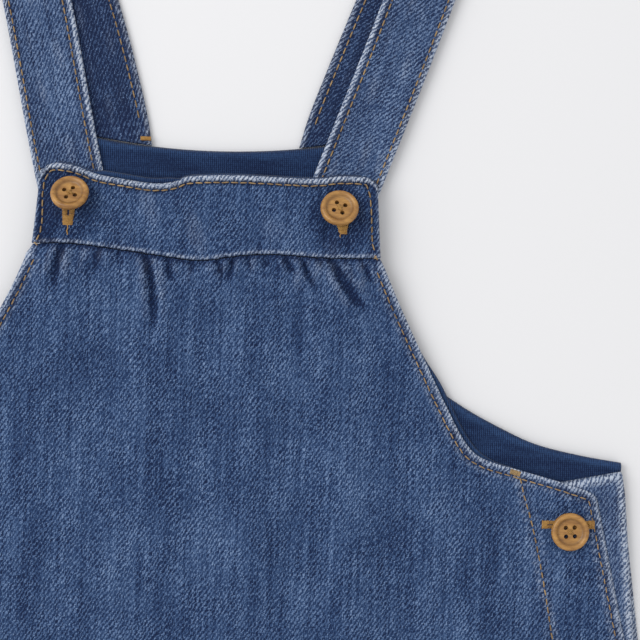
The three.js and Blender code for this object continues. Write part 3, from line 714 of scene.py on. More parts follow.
def make_front():
    """The panel below the yoke: armholes and flaps turned over and sewn, gathers, folds and a hem."""
    x, y = front_grid()
    z = front_top(x, y)
    right = np.abs(x)
    away, along, side = distance_to(edge_right, right, y)
    inside = np.where(side < 0, away, 0)
    low_side = y < SIDE_OPENING_END[1]
    seam_side = (HEM_HALF + (y - HEM_SIDE_Y) * (HEM_HALF - 158.5) / (HEM_SIDE_Y + 91.5)) - right
    inside = np.where(low_side, np.maximum(seam_side, 0), inside)
    hem_in = y - hem_y(x)
    z += pucker(FRONT_STITCHES.values(), x, y)
    hemmed = 1 - ease(EDGE_STITCH - 1.2, EDGE_STITCH + 0.2, inside)
    rope = 0.5 + 0.5 * np.sin(2 * math.pi * (along / 3.1 + inside * 0.22))
    z += hemmed * (0.35 + 0.12 * rope) * (inside > 0)
    z -= round_edge(inside, 1.3) + round_edge(hem_in, 1.2)
    z += 0.35 * (1 - ease(15, 17.5, hem_in))
    patchy = 0.5 + 0.5 * seeded_wave(x, y, 5, 21)
    worn = (1 - ease(0.4, 2.9, inside)) * (0.55 + 0.45 * rope) * (0.6 + 0.4 * patchy)
    worn = np.maximum(worn, (1 - ease(0.2, 2.0, hem_in)) * (0.4 + 0.5 * patchy))
    ridge = crease_height(x, y)
    worn = np.maximum(worn, 0.22 * ease(0.25, 0.9, ridge) * patchy)
    # painted shade in the creases' valleys
    shade_and_dye = 1.0 * ease(0.15, 1.1, -ridge)
    # painted shade on the cloth just under the yoke's edge
    under = (1 - ease(0.4, 2.6, yoke_seam_y(np.clip(x, -69, 69)) - y)) * (right < 70)
    shade_and_dye = np.maximum(shade_and_dye, 0.8 * under)
    # the gathers' tucks: painted highlight on their tops and painted shade in their troughs
    tuck = seeded_wave(x, y * 0.25, 6.5, 41) * ease(-20, -3, y) * (right < 69)
    worn = np.maximum(worn, 0.2 * ease(0.1, 0.8, tuck)) * (1 - under)
    shade_and_dye = np.maximum(shade_and_dye, 0.5 * ease(0.1, 0.8, -tuck) * ease(-12, -3, y))
    for path in FRONT_STITCHES.values():
        low, high = path.min(0) - 4, path.max(0) + 4
        near = (x > low[0]) & (x < high[0]) & (y > low[1]) & (y < high[1])
        gap, run, _ = distance_to(path, x[near], y[near])
        holes = between_holes(run)
        # painted shade in the stitch line's groove and holes
        shade_and_dye[near] = np.maximum(shade_and_dye[near], 0.6 * bump(gap, 0.9) * (0.4 + 0.6 * holes))
        worn[near] = np.maximum(worn[near], 0.3 * bump(gap - 1.4, 0.7) * (1 - holes))
    # painted shade in the groove along the edge's stitching
    edge_groove_shade = bump(inside - EDGE_STITCH + 0.5, 0.8)
    shade_and_dye = np.maximum(shade_and_dye, 0.5 * edge_groove_shade * (inside > 0))
    # painted shade along the seam under the yoke
    shade_and_dye = np.maximum(shade_and_dye, 0.5 * bump(y - yoke_seam_y(np.clip(x, -69, 69)), 1.6) * (right < 70))
    grid = np.stack([x, y, z], -1)
    cloth = np.stack([x, y], -1)
    piece = cloth_piece("front_cloth", grid, cloth, {"worn": worn, "shade_and_dye": shade_and_dye}, PANEL_THICK,
                        denim("front_denim", 3))
    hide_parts("front_panel")


# ---- the yoke ------------------------------------------------------------------------------------
def edge_marks(start, end, fine, step, fine_reach):
    """Places from start to end, closer together near both ends."""
    long = end - start
    near = np.arange(0, fine_reach, fine)
    far = np.linspace(fine_reach, long - fine_reach, max(2, int((long - 2 * fine_reach) / step)))
    return np.concatenate([start + near, start + far, (end - near)[::-1]])


def make_yoke():
    """The yoke: a rolled, roped top edge, sewn sides and a worn line above the seam."""
    us = edge_marks(-1, 1, 0.4 / YOKE_HALF, 0.5 / YOKE_HALF, 8 / YOKE_HALF)
    vs = edge_marks(0, 1, 0.3 / 32, 0.9 / 32, 4.2 / 32)
    u, v = np.meshgrid(us, vs)
    x = u * (YOKE_HALF - YOKE_TAPER * v)
    top_half = YOKE_HALF - YOKE_TAPER
    corner_in = np.clip(np.abs(u) * top_half - (top_half - YOKE_CORNER), 0, YOKE_CORNER)
    cut = YOKE_CORNER - np.sqrt(np.maximum(YOKE_CORNER ** 2 - corner_in ** 2, 0))
    top = yoke_top_y(u * top_half) - cut
    bottom = yoke_seam_y(u * YOKE_HALF)
    y = bottom + (top - bottom) * v
    from_top, from_bottom = (top - y), (y - bottom)
    from_side = (1 - np.abs(u)) * YOKE_HALF
    rope = 0.5 + 0.5 * np.sin(2 * math.pi * (x / 1.9 + from_top * 0.3) + 1.1 * seeded_wave(x, y, 9, 2))
    rope_side = 0.5 + 0.5 * np.sin(2 * math.pi * (y / 3.6 + from_side * 0.25))
    pulls = crease_height(x, y, YOKE_PULLS)
    z = YOKE_Z + YOKE_THICK + 0.15 * seeded_wave(x, y, 26, 4) + 0.1 * seeded_wave(x, y, 9, 6) + pulls
    turned = 1 - ease(0.7, 0.98, corner_in / YOKE_CORNER)
    roll = bump(from_top - 1.3, 1.1)
    z += turned * (roll * (0.7 + 0.4 * rope) - 0.35 * bump(from_top - 3.1, 0.8))
    z += bump(from_side - 1.3, 1.2) * (0.2 + 0.15 * rope_side)
    z += 0.3 * bump(from_bottom - 1.0, 1.0)
    z += pucker([yoke_stitch], x, y, 0.3, 0.16)
    z -= turned * round_edge(from_top, 1.5) + round_edge(from_side, 1.4) + round_edge(from_bottom, 1.0)
    for _, bx, by, _, _ in BUTTONS[:2]:
        z -= 0.9 * bump(np.hypot(x - bx, y - by - 5), 6)
        z += 0.7 * bump(np.hypot(x - bx, (y - by + 12) * 0.7), 4)
    patchy = 0.5 + 0.5 * seeded_wave(x, y, 4.2, 31)
    worn = (1 - ease(1.7, 2.7, from_top)) * (0.5 + 0.5 * rope) * (0.8 + 0.2 * patchy)
    worn = np.maximum(worn, (1 - ease(0.3, 1.8, from_side)) * (0.3 + 0.5 * rope_side) * patchy)
    worn = np.maximum(worn, 0.62 * bump(from_bottom - 0.9, 0.75) * (0.15 + 0.85 * patchy))
    streaks = ease(0.2, 0.9, seeded_wave(x + 0.35 * y, y * 0.3, 11, 52))
    worn = np.maximum(worn, 0.1 * streaks)
    shade_and_dye = 0.5 * ease(5, 3.2, from_side) * ease(0.6, 2.2, from_side)
    shade_and_dye = np.maximum(shade_and_dye, 0.75 * ease(-55, -62, x) * ease(0.8, 2.2, from_side) * ease(1.8, 3.4, from_top))
    # painted shade in the pulls' troughs
    shade_and_dye = np.maximum(shade_and_dye, 0.7 * ease(0.15, 0.6, -pulls))
    # painted shadow in the dip under the rolled top edge
    shade_and_dye = np.maximum(shade_and_dye, 0.6 * bump(from_top - 3.0, 0.7))
    gap, along, _ = distance_to(yoke_stitch, x, y)
    holes = between_holes(along)
    # painted shade in the stitch line's groove and holes
    shade_and_dye = np.maximum(shade_and_dye, 0.65 * bump(gap, 0.9) * (0.35 + 0.65 * holes))
    for _, bx, by, _, _ in BUTTONS[:2]:
        near = np.hypot((x - bx), (y - by + 4) * 0.8)
        shade_and_dye = np.maximum(shade_and_dye, 0.6 * (1 - ease(8, 14.5, near + 1.5 * seeded_wave(x, y, 8, 9))))
    grid, cloth = np.stack([x, y, z], -1), np.stack([x, y], -1)
    piece = cloth_piece("yoke_cloth", grid, cloth, {"worn": worn, "shade_and_dye": shade_and_dye}, YOKE_THICK - 0.2,
                        denim("yoke_denim", 41))
    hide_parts("front_yoke")


# ---- flat pieces cut to an outline ---------------------------------------------------------------
def filled_rows(upper, lower_y, columns, rows):
    """A grid between an upper edge, a path from left to right, and a lower line."""
    top = point_at(upper, np.linspace(0, 1, columns))
    down = np.linspace(0, 1, rows)[::-1, None]
    low_x = top[:, 0]
    low = lower_y(low_x)
    return low_x + 0 * down, top[:, 1] + (low - top[:, 1]) * down


def back_upper(grow):
    right = offset_path(back_armhole, grow)
    xs = np.linspace(-right[0, 0], right[0, 0], 60)[1:-1]
    neck = np.stack([xs, neck_y(xs) + grow], 1)
    return even_path(np.vstack([mirrored(right)[::-1], neck, right]), 0.5)


def make_back():
    """The plain back, flat where it rests."""
    columns, rows = 150, 120
    upper = back_upper(0)
    top = point_at(upper, np.linspace(0, 1, columns))
    share = np.linspace(-1, 1, columns)
    half = HEM_HALF + 1.5
    low_x = share * half
    low = hem_y(low_x, half, HEM_SIDE_Y - 2)
    down = np.linspace(0, 1, rows)[::-1, None]
    x = top[:, 0] + (low_x - top[:, 0]) * down
    y = top[:, 1] + (low - top[:, 1]) * down
    side_now = np.interp(-y, [78, 196, 322], [168, 184.5, 213.5])
    straight = np.interp(-y, [78, 322], [168, 213.5])
    x = x * np.where(y < -78, side_now / straight, 1)
    inside = np.minimum(y - low, side_now - np.abs(x))
    z = BACK_THICK - 0.1 - 0.09 * (1 - ease(0, 0.7, inside))
    patchy = 0.5 + 0.5 * seeded_wave(x, y, 5, 3)
    worn = (1 - ease(0.2, 2.2, inside)) * (0.4 + 0.6 * patchy)
    grid, cloth = np.stack([x, y, z], -1), np.stack([x, y], -1)
    piece = cloth_piece("back_cloth", grid, cloth, {"worn": worn, "shade_and_dye": 0.2 * np.ones_like(x)}, 1.0,
                        denim("back_denim", 77))
    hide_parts("back_panel")


def make_back_lining():
    """The knit in the back's neck and armholes, with a soft rolled edge."""
    x, y = filled_rows(back_upper(0.6), lambda lx: -98 + 4 * (lx / 169) ** 2, 210, 120)
    away, _, _ = distance_to(back_upper(0.6), x, y)
    z = BACK_LINING_Z + LINING_THICK + 0.25 * seeded_wave(x, y, 30, 14) + 0.2
    z += 0.7 * bump(away - 1.6, 1.5) - round_edge(away, 1.2)
    lines = seeded_wave(x * 0.35, y, 7, 18)
    worn = 0.7 * bump(away - 1.8, 1.4) + 0.25 * ease(0, 1, lines)
    grid, cloth = np.stack([x, y, z], -1), np.stack([x, y], -1)
    piece = cloth_piece("back_knit", grid, cloth, {"worn": worn}, LINING_THICK, knit("navy_knit"))
    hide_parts("back_lining")


def make_yoke_facing():
    """The knit that peeps out over the yoke's dip."""
    xs = np.linspace(-66, 66, 220)
    peek = 0.8 + 1.5 * ease(-47, -41, xs) * (1 - ease(-17, -10, xs))
    peek = np.where(np.abs(xs) > 60, -1.2, peek)
    tops = yoke_top_y(xs) + peek
    rows = np.linspace(0, 1, 30)[:, None]
    x = xs + 0 * rows
    y = 5 + (tops - 5) * rows
    inside = tops - y
    z = YOKE_FACING_Z + LINING_THICK + 0.1 + 0.5 * bump(inside - 1.0, 1.0) - round_edge(inside, 1.0)
    grid, cloth = np.stack([x, y, z], -1), np.stack([x, y], -1)
    worn = 0.8 * bump(inside - 0.9, 1.2)
    piece = cloth_piece("yoke_facing_knit", grid, cloth, {"worn": worn}, LINING_THICK, knit("facing_knit"))
    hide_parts("yoke_facing")


def make_armhole_facing(word, side):
    """The knit that peeps out along one front armhole."""
    run = np.linspace(0.06, 0.74, 150)
    base = point_at(front_armhole, run)
    ahead = point_at(front_armhole, run + 0.004) - base
    ahead /= np.linalg.norm(ahead, axis=1)[:, None]
    out = np.stack([-ahead[:, 1], ahead[:, 0]], 1)
    show = 2.0 * ease(0.28, 0.42, run) * (1 - ease(0.6, 0.72, run))
    across = np.linspace(0, 1, 16)[:, None, None]
    spot = base + out * (show[:, None] - across * (show[:, None] + 12))
    x, y = spot[..., 0] * side, spot[..., 1]
    inside = (across[..., 0] * (show + 12))
    z = STAND_Z + LINING_THICK + 0.15 + 0.4 * bump(inside - 1, 1.0) - round_edge(inside, 1.0)
    worn = 0.8 * bump(inside - 1, 1.2)
    grid, cloth = np.stack([x, y, z], -1), np.stack([x, y], -1)
    if side > 0:
        grid, cloth, worn = grid[::-1], cloth[::-1], worn[::-1]
    piece = cloth_piece(f"armhole_facing_{word}_knit", grid, cloth, {"worn": worn}, LINING_THICK,
                        knit(f"facing_{word}_knit"))
    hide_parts(f"armhole_facing_{word}")


# the stand's two edges as distance below the yoke seam and x, and how far its top falls to the inside
STAND_OUTER = [(81, 167.6), (90, 169.2), (140, 174), (196, 180.5)]
STAND_INNER = [(81, 140), (90, 140), (196, 156)]
STAND_TOP, STAND_FOOT, STAND_SLOPE = 81.5, 196, 6


def make_stand(word, side):
    """The back's strip that one side flap buttons onto."""
    rows = np.linspace(0, 1, 110)
    ys = -STAND_TOP - (STAND_FOOT - STAND_TOP) * rows
    outer = np.interp(-ys, *zip(*STAND_OUTER))
    inner = np.interp(-ys, *zip(*STAND_INNER))
    across = np.linspace(0, 1, 40)[:, None]
    x = inner + (outer - inner) * across
    y = ys + 0 * across
    y = y - (1 - across) * STAND_SLOPE * (1 - ease(0, 0.12, rows))
    from_top = np.maximum(-STAND_TOP - (1 - across) * STAND_SLOPE - y, 0)
    from_side = outer - x
    z = STAND_Z + STAND_THICK + 0.1 + 0 * x
    z += 0.3 * bump(from_top - 1, 1) - round_edge(from_top, 1.1) - round_edge(from_side, 1.1)
    patchy = 0.5 + 0.5 * seeded_wave(x, y, 4, 17)
    edges = np.maximum(0.8 * bump(from_top - 0.9, 1.6), 0.8 * bump(from_side - 0.8, 1.4))
    worn = edges * (0.6 + 0.4 * patchy) + 0.08
    grid, cloth = np.stack([x * side, y, z], -1), np.stack([x * side, y], -1)
    if side > 0:
        grid, cloth, worn = grid[::-1], cloth[::-1], worn[::-1]
    piece = cloth_piece(f"stand_{word}_cloth", grid, cloth, {"worn": worn, "shade_and_dye": 0 * x}, 1.0,
                        denim(f"stand_{word}_denim", 23 + side))
    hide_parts(f"button_stand_{word}")


# ---- straps --------------------------------------------------------------------------------------
def strap_path(legs):
    """Rows of x, y, z, lean and leg (0 back, 1 front), from the back neck over the shoulder to the yoke."""
    low, high = STRAP_THICK / 2, STRAP_THICK * 1.5 + SHOULDER_SPACE
    back, front = smooth_path(legs["back"], 1.0), smooth_path(legs["front"], 1.0)
    rows = []
    way = np.gradient(back, axis=0)
    for i, (p, d) in enumerate(zip(back, way)):
        rows.append([p[0], p[1], low, math.atan2(d[0], d[1]) * float(ease(0, 0.16, i / (len(back) - 1))), 0])
    way_front = np.gradient(front, axis=0)
    lean = (rows[-1][3] + math.atan2(-way_front[0][0], -way_front[0][1])) / 2
    radius = (high - low) / 2
    for i in range(1, 12):
        turn = math.pi * i / 12
        reach = radius * math.sin(turn)
        x = back[-1][0] + (front[0][0] - back[-1][0]) * i / 12 + reach * math.sin(lean)
        y, z = back[-1][1] + reach * math.cos(lean), low + radius * (1 - math.cos(turn))
        rows.append([x, y, z, lean, i / 12])
    for i, (p, d) in enumerate(zip(front, way_front)):
        t = i / (len(front) - 1)
        z = high + (low + STRAP_THICK + 0.4 - high) * float(ease(0, 0.3, t))
        z += (STRAP_END_Z - STRAP_THICK - 0.4) * float(ease(70, 50, p[1]))
        rows.append([p[0], p[1], z, math.atan2(-d[0], -d[1]), 1])
    return np.array(rows)


def strap_section():
    """Places across the strap, close together at its rolled edges."""
    near = np.array([0, 0.12, 0.35, 0.7, 1.1, 1.6, 2.2, 2.8, 3.4, 4.0, 4.8])
    mid = np.linspace(6, STRAP_WIDTH - 6, 12)
    across = np.concatenate([near, mid, STRAP_WIDTH - near[::-1]])
    return across - STRAP_WIDTH / 2


def make_strap(word, legs):
    """One strap, with rolled edges, from the back neck over the shoulder to the yoke."""
    path = strap_path(legs)
    across = strap_section()
    faces_across = np.concatenate([across, across[::-1][1:-1]])
    face = np.concatenate([np.ones(len(across)), -np.ones(len(across) - 2)])
    centre, lean, leg = path[:, :3], path[:, 3], path[:, 4]
    along = np.gradient(centre, axis=0)
    along /= np.linalg.norm(along, axis=1)[:, None]
    cross = np.stack([np.cos(lean), -np.sin(lean), np.zeros(len(lean))], 1)
    up = np.cross(cross, along)
    up /= np.linalg.norm(up, axis=1)[:, None]
    run = np.concatenate([[0], np.cumsum(np.linalg.norm(np.diff(centre, axis=0), axis=1))])
    inner_sign = 1 if word == "left" else -1
    s, w = np.meshgrid(run, faces_across, indexing="ij")
    f = np.broadcast_to(face, s.shape)
    edge = STRAP_WIDTH / 2 - np.abs(w)
    inner = w * inner_sign > 0
    stitch_in = np.where(inner, STRAP_STITCH_INNER, STRAP_STITCH_OUTER)
    rope = 0.5 + 0.5 * np.sin(2 * math.pi * (s / 3.4 + edge * 0.22) + 0.7 * seeded_wave(s, w, 11, 4))
    half = STRAP_THICK / 2 * np.sqrt(np.clip(1 - (1 - np.clip(edge / 1.3, 0, 1)) ** 2, 0.0004, 1))
    half = half + (0.16 + 0.14 * rope) * bump(edge - 1.4, 1.2)
    half -= 0.2 * bump(edge - stitch_in, 0.8)
    half += 0.1 * bump(edge - stitch_in, 2.0) * np.cos(2 * math.pi * s / STITCH_PITCH)
    half += 0.1 * seeded_wave(s, w, 24, 7)
    half = np.maximum(half, 0.02)
    points = centre[:, None] + cross[:, None] * w[..., None] + up[:, None] * (f * half)[..., None]
    foot = neck_y(points[0, :, 0]) + 1.0 - centre[0, 1]
    fade = np.clip(1 - run / 6.0, 0, 1)[:, None]
    points[..., 1] += foot * fade
    points[..., 2] = np.maximum(points[..., 2], 0.03)
    front_leg = leg[:, None] > 0.5
    side_amount = np.where(inner, 1.0, 0.8)
    patchy = 0.5 + 0.5 * seeded_wave(s, w, 4, 12)
    worn = side_amount * (1 - ease(1.2, 2.5, edge)) * (0.6 + 0.4 * rope) * (0.75 + 0.25 * patchy)
    streaks = ease(0.1, 0.9, seeded_wave(s * 0.35, w * 1.4, 9, 2))
    worn = np.maximum(worn, 0.05 + 0.13 * streaks)
    # the back leg darker all along: painted shadow of the front leg over it, with darker denim
    shade_and_dye = np.where(front_leg, 0.0, 0.72) * np.ones_like(s)
    # painted shade in the stitch lines' grooves and holes
    shade_and_dye = np.maximum(shade_and_dye, 0.5 * bump(edge - stitch_in + 0.9, 0.7))
    holes = between_holes(s)
    shade_and_dye = np.maximum(shade_and_dye, 0.6 * bump(edge - stitch_in, 0.9) * (0.35 + 0.65 * holes))
    # the back leg less pale at its edges, for the same painted shadow
    worn = np.where(front_leg, worn, worn * 0.6)
    cloth = np.stack([w, s * np.where(front_leg, -1, 1)], -1)
    rows, columns = s.shape
    faces = grid_faces(rows, columns, closed=True)
    faces.append(tuple(range(columns))[::-1])
    faces.append(tuple((rows - 1) * columns + c for c in range(columns)))
    piece = new_piece(f"strap_{word}_cloth", points, faces, cloth, {"worn": worn, "shade_and_dye": shade_and_dye})
    piece.data.materials.append(denim(f"strap_{word}_denim", 60 if word == "left" else 90))
    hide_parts(f"strap_{word}")
    return centre, cross, up, run, leg, inner_sign


# ---- thread --------------------------------------------------------------------------------------
def thread_mesh(runs, sides=6):
    """One mesh of many short threads, each run a list of points and a radius at each point."""
    points, faces = [], []
    turns = np.linspace(0, 2 * math.pi, sides, endpoint=False)
    for line, radii in runs:
        line = np.asarray(line, float)
        way = np.gradient(line, axis=0)
        way /= np.linalg.norm(way, axis=1)[:, None] + 1e-9
        aside = np.cross(way, (0, 0, 1.0))
        flat = np.linalg.norm(aside, axis=1) < 1e-3
        aside[flat] = (1, 0, 0)
        aside /= np.linalg.norm(aside, axis=1)[:, None]
        over = np.cross(aside, way)
        start = len(points)
        for p, a, o, r in zip(line, aside, over, radii):
            points.extend((p + r * (math.cos(t) * a + math.sin(t) * o)).tolist() for t in turns)
        for i in range(len(line) - 1):
            for k in range(sides):
                a, b = start + i * sides + k, start + i * sides + (k + 1) % sides
                faces.append((a, a + sides, b + sides, b))
        faces.append(tuple(start + k for k in range(sides)))
        last = start + (len(line) - 1) * sides
        faces.append(tuple(last + k for k in range(sides))[::-1])
    return points, faces


def stitch_runs(path, height):
    """Short stitches along a path of x, y, each sinking into its holes; height gives the cloth's face."""
    pitch, radius = STITCH_PITCH, THREAD_RADIUS
    path = np.asarray(path, float)
    gone = np.concatenate([[0], np.cumsum(np.linalg.norm(np.diff(path, axis=0), axis=1))])
    runs = []
    for k in range(int(gone[-1] / pitch)):
        middle = (k + 0.5) * pitch + rng.uniform(-0.12, 0.12) if k else 0.5 * pitch
        marks = middle + STITCH_LONG * rng.uniform(0.92, 1.06) * STITCH_MARKS
        xy = np.stack([np.interp(marks, gone, path[:, 0]), np.interp(marks, gone, path[:, 1])], 1)
        turn = rng.uniform(-0.05, 0.05)
        side = (xy[-1] - xy[0])[::-1] * np.array([-1, 1])
        xy = xy + side * turn * 2 * STITCH_MARKS[:, None]
        z = height(xy[:, 0], xy[:, 1]) + radius * STITCH_RISE
        runs.append((np.column_stack([xy, z]), radius * STITCH_SWELL))
    return runs


def thread_piece(name, runs, material, sides=6):
    points, faces = thread_mesh(runs, sides)
    piece = new_piece(name, points, faces)
    piece.data.materials.append(material)
    return piece


def add_stitches(straps):
    """The topstitching on the front, the yoke and the straps."""
    flap = lambda x, y: front_top(x, y) + pucker(FRONT_STITCHES.values(), x, y)
    for name, path in FRONT_STITCHES.items():
        thread_piece(f"stitches_{name}", stitch_runs(path, flap), TAN)
    on_yoke = lambda x, y: YOKE_Z + YOKE_THICK + 0.15 * seeded_wave(x, y, 26, 4) - 0.05 + 0 * x
    ends = [[(-68.6, 2.4), (-66.2, -0.6)], [(-66.6, 2.2), (-68.4, -0.8)], [(68.4, 2.0), (65.8, -0.6)],
            [(66.0, 2.0), (68.2, -1.2)]]
    sunk = lambda x, y: on_yoke(x, y) - 0.25
    crossed = [run for end in ends for run in stitch_runs(even_path(end, 0.5), sunk)]
    thread_piece("stitches_yoke", stitch_runs(yoke_stitch, on_yoke) + crossed, TAN)
    for word, (centre, cross, up, run, leg, inner_sign) in straps.items():
        runs = []
        for off in ((STRAP_WIDTH / 2 - STRAP_STITCH_INNER) * inner_sign,
                    -(STRAP_WIDTH / 2 - STRAP_STITCH_OUTER) * inner_sign):
            for k in range(2, int(run[-1] / STITCH_PITCH) - 1):
                marks = (k + 0.5) * STITCH_PITCH + STITCH_LONG * STITCH_MARKS
                middle = centre + cross * off
                spot = np.stack([np.interp(marks, run, middle[:, i]) for i in range(3)], 1)
                face = np.stack([np.interp(marks, run, up[:, i]) for i in range(3)], 1)
                on_front = np.interp(marks[3], run, leg) > 0.5
                high = STRAP_THICK / 2 - 0.1 + THREAD_RADIUS * STITCH_RISE
                high = -high if on_front else high
                runs.append((spot + face * high[:, None], THREAD_RADIUS * STITCH_SWELL))
        thread_piece(f"stitches_strap_{word}", runs, TAN)


def satin_runs(start, end, height, near=0.25, far=1.7, pitch=0.5, radius=0.24, flare=0.0):
    """Buttonhole stitches on both sides of a slit from start to end; flare parts them at the start."""
    start, end = np.array(start, float), np.array(end, float)
    long = np.linalg.norm(end - start)
    way = (end - start) / long
    aside = np.array([-way[1], way[0]])
    runs = []
    for k in range(int(long / pitch)):
        t = (k + 0.5) * pitch / long
        for side in (-1, 1):
            spread = flare * (1 - t)
            marks = np.array([near - 0.1, near, (near + far) / 2, far, far + 0.15])
            marks = marks * rng.uniform(0.95, 1.05) + spread
            xy = start + way * (t * long + rng.uniform(-0.06, 0.06)) + np.outer(marks * side, aside)
            z = height(xy[:, 0], xy[:, 1]) + radius * SATIN_RISE
            runs.append((np.column_stack([xy, z]), radius * SATIN_SWELL))
    return runs


def bar_runs(centre, along, wide, long, height, pitch=0.42, radius=0.26):
    """A close bar of stitches at a buttonhole's or a seam's end; along is the bar's own direction."""
    way = np.array(along, float) / np.linalg.norm(along)
    aside = np.array([-way[1], way[0]])
    runs = []
    for k in range(int(long / pitch)):
        place = np.array(centre, float) + way * ((k + 0.5) * pitch - long / 2 + rng.uniform(-0.05, 0.05))
        marks = np.array([-0.5, -0.44, 0, 0.44, 0.5]) * wide * rng.uniform(0.93, 1.05)
        xy = place + np.outer(marks, aside) + np.outer([0, 0, 0.08, 0, 0], way) * rng.uniform(-1, 1)
        z = height(xy[:, 0], xy[:, 1]) + radius * BAR_RISE
        runs.append((np.column_stack([xy, z]), radius * BAR_SWELL))
    return runs


SLIT_HALF, LIP_HALF = 0.3, 2.0      # a front buttonhole's slit and the stitches beside it, from its middle
# the slit's two ends, how far it flares, the bar that closes it, and a loose thread end as x, y,
# height over the yoke and radius
FRONT_BUTTONHOLES = {
    "left": {"slit": ((-54.7, 24), (-54.8, 10.6)), "flare": 1.0,
             "bar": (-54.8, 10.4), "bar_wide": 4.3, "bar_long": 3.8,
             "tail": [(-54.9, 8.6, 0.7, 0.26), (-54.6, 7.4, 0.95, 0.24), (-55.0, 6.2, 1.0, 0.22),
                      (-54.7, 5.0, 0.7, 0.2), (-54.9, 4.4, 0.2, 0.16)]},
    "right": {"slit": ((52.9, 24), (53.5, 11.2)), "flare": 0.4,
              "bar": (53.5, 10.8), "bar_wide": 3.8, "bar_long": 3.4,
              "tail": [(53.0, 9.2, 0.7, 0.26), (52.5, 8.4, 0.95, 0.24), (52.8, 7.7, 0.9, 0.22),
                       (52.6, 7.2, 0.3, 0.18)]},
}
# name, side, x, y
SIDE_BUTTONHOLES = [("left_upper", -1, 148, -102.4), ("left_lower", -1, 160, -155.4),
                    ("right_upper", 1, 148, -102.4), ("right_lower", 1, 160, -155.4)]


def add_buttonholes():
    """Keyhole buttonholes under the front buttons and straight ones under the side buttons."""
    on_yoke = lambda x, y: YOKE_Z + YOKE_THICK + 0.45 + 0 * x
    for word, hole in FRONT_BUTTONHOLES.items():
        runs = satin_runs(*hole["slit"], on_yoke, SLIT_HALF, LIP_HALF, flare=hole["flare"])
        runs += bar_runs(hole["bar"], (0, 1), hole["bar_wide"], hole["bar_long"], on_yoke)
        tail = np.array(hole["tail"])
        runs.append((tail[:, :3] + (0, 0, YOKE_Z + YOKE_THICK), tail[:, 3]))
        thread_piece(f"buttonhole_front_{word}", runs, OCHRE)
    on_flap = lambda x, y: front_top(x, y) + 0.05
    for name, side, x, y in SIDE_BUTTONHOLES:
        start, end = np.array((x - 10.2, y - 0.3)), np.array((x + 9.0, y + 0.3))
        flip = np.array([side, 1])
        runs = satin_runs(start * flip, end * flip, on_flap, 0.25, 1.4, pitch=0.55)
        runs += bar_runs((start + (0.4, 0)) * flip, (1, 0), 3.2, 2.4, on_flap)
        runs += bar_runs((end - (0.4, 0)) * flip, (1, 0), 3.2, 2.6, on_flap)
        thread_piece(f"buttonhole_{name}", runs, OCHRE)


def add_bars():
    """Short bars of close stitches where a sewn line has to hold."""
    flap = lambda x, y: front_top(x, y) + 0.1
    runs = []
    for side in (-1, 1):
        runs += bar_runs((125.6 * side, -82.6), (1, -0.28 * side), 2.0, 4.2, flap)
        runs += bar_runs((152.5 * side, -194), (0.25 * side, -1), 3.0, 4.0, flap)
    thread_piece("side_bars", runs, TAN)
    on_neck = lambda x, y: STRAP_THICK + 0.3 + 0 * x
    thread_piece("strap_bar", bar_runs((-26.0, 44.6), (1, 0), 1.4, 4.6, on_neck), OCHRE)


# ---- buttons -------------------------------------------------------------------------------------
# radius and height, from the middle of the underside round the rim to the middle of the dished face
BUTTON_PROFILE = [(0, 0), (5.9, 0), (6.8, 0.25), (7.35, 0.9), (7.5, 1.6), (7.4, 2.3), (7.05, 2.85),
                  (6.55, 3.1), (5.9, 3.0), (5.3, 2.5), (4.8, 2.1), (4.1, 2.0), (2.5, 2.1), (0, 2.1)]
HOLE_RING, HOLE_RADIUS, BUTTON_THREAD = 2.45, 0.88, 0.22


def button_mesh(name):
    """The button's profile turned about its middle."""
    profile = smooth_path(BUTTON_PROFILE, 0.3)
    profile[0, 0] = profile[-1, 0] = 0
    turns = 72
    angle = np.linspace(0, 2 * math.pi, turns, endpoint=False)
    ring = profile[1:-1]
    points = [(0, 0, profile[0, 1])]
    for r, z in ring:
        points += [(r * math.cos(a), r * math.sin(a), z) for a in angle]
    points.append((0, 0, profile[-1, 1]))
    faces = []
    for i in range(len(ring) - 1):
        for k in range(turns):
            a, b = 1 + i * turns + k, 1 + i * turns + (k + 1) % turns
            faces.append((a, b, b + turns, a + turns))
    last = 1 + (len(ring) - 1) * turns
    for k in range(turns):
        faces.append((0, 1 + (k + 1) % turns, 1 + k))
        faces.append((len(points) - 1, last + k, last + (k + 1) % turns))
    mesh = bpy.data.meshes.new(name)
    mesh.from_pydata((np.array(points) * MM).tolist(), [], faces)
    return mesh


def cut_holes(piece, turn):
    """Cuts the button's four holes."""
    holes, faces, sides = [], [], 20
    for i in range(4):
        a = math.radians(turn) + math.pi * (i / 2 + 0.25)
        cx, cy, start = HOLE_RING * math.cos(a), HOLE_RING * math.sin(a), len(holes)
        for z in (-2, 6):
            for k in range(sides):
                b = 2 * math.pi * k / sides
                x, y = cx + HOLE_RADIUS * math.cos(b), cy + HOLE_RADIUS * math.sin(b)
                holes.append((x * MM, y * MM, z * MM))
        faces.append(tuple(start + k for k in range(sides))[::-1])
        faces.append(tuple(start + sides + k for k in range(sides)))
        for k in range(sides):
            p, q = start + k, start + (k + 1) % sides
            faces.append((p, q, q + sides, p + sides))
    mesh = bpy.data.meshes.new("hole_cutter")
    mesh.from_pydata(holes, [], faces)
    cutter = bpy.data.objects.new("hole_cutter", mesh)
    bpy.context.scene.collection.objects.link(cutter)
    cut = piece.modifiers.new("holes", "BOOLEAN")
    cut.object, cut.operation, cut.solver = cutter, "DIFFERENCE", "EXACT"
    done = bpy.data.meshes.new_from_object(piece.evaluated_get(bpy.context.evaluated_depsgraph_get()))
    piece.modifiers.clear()
    piece.data = done
    bpy.data.objects.remove(cutter)


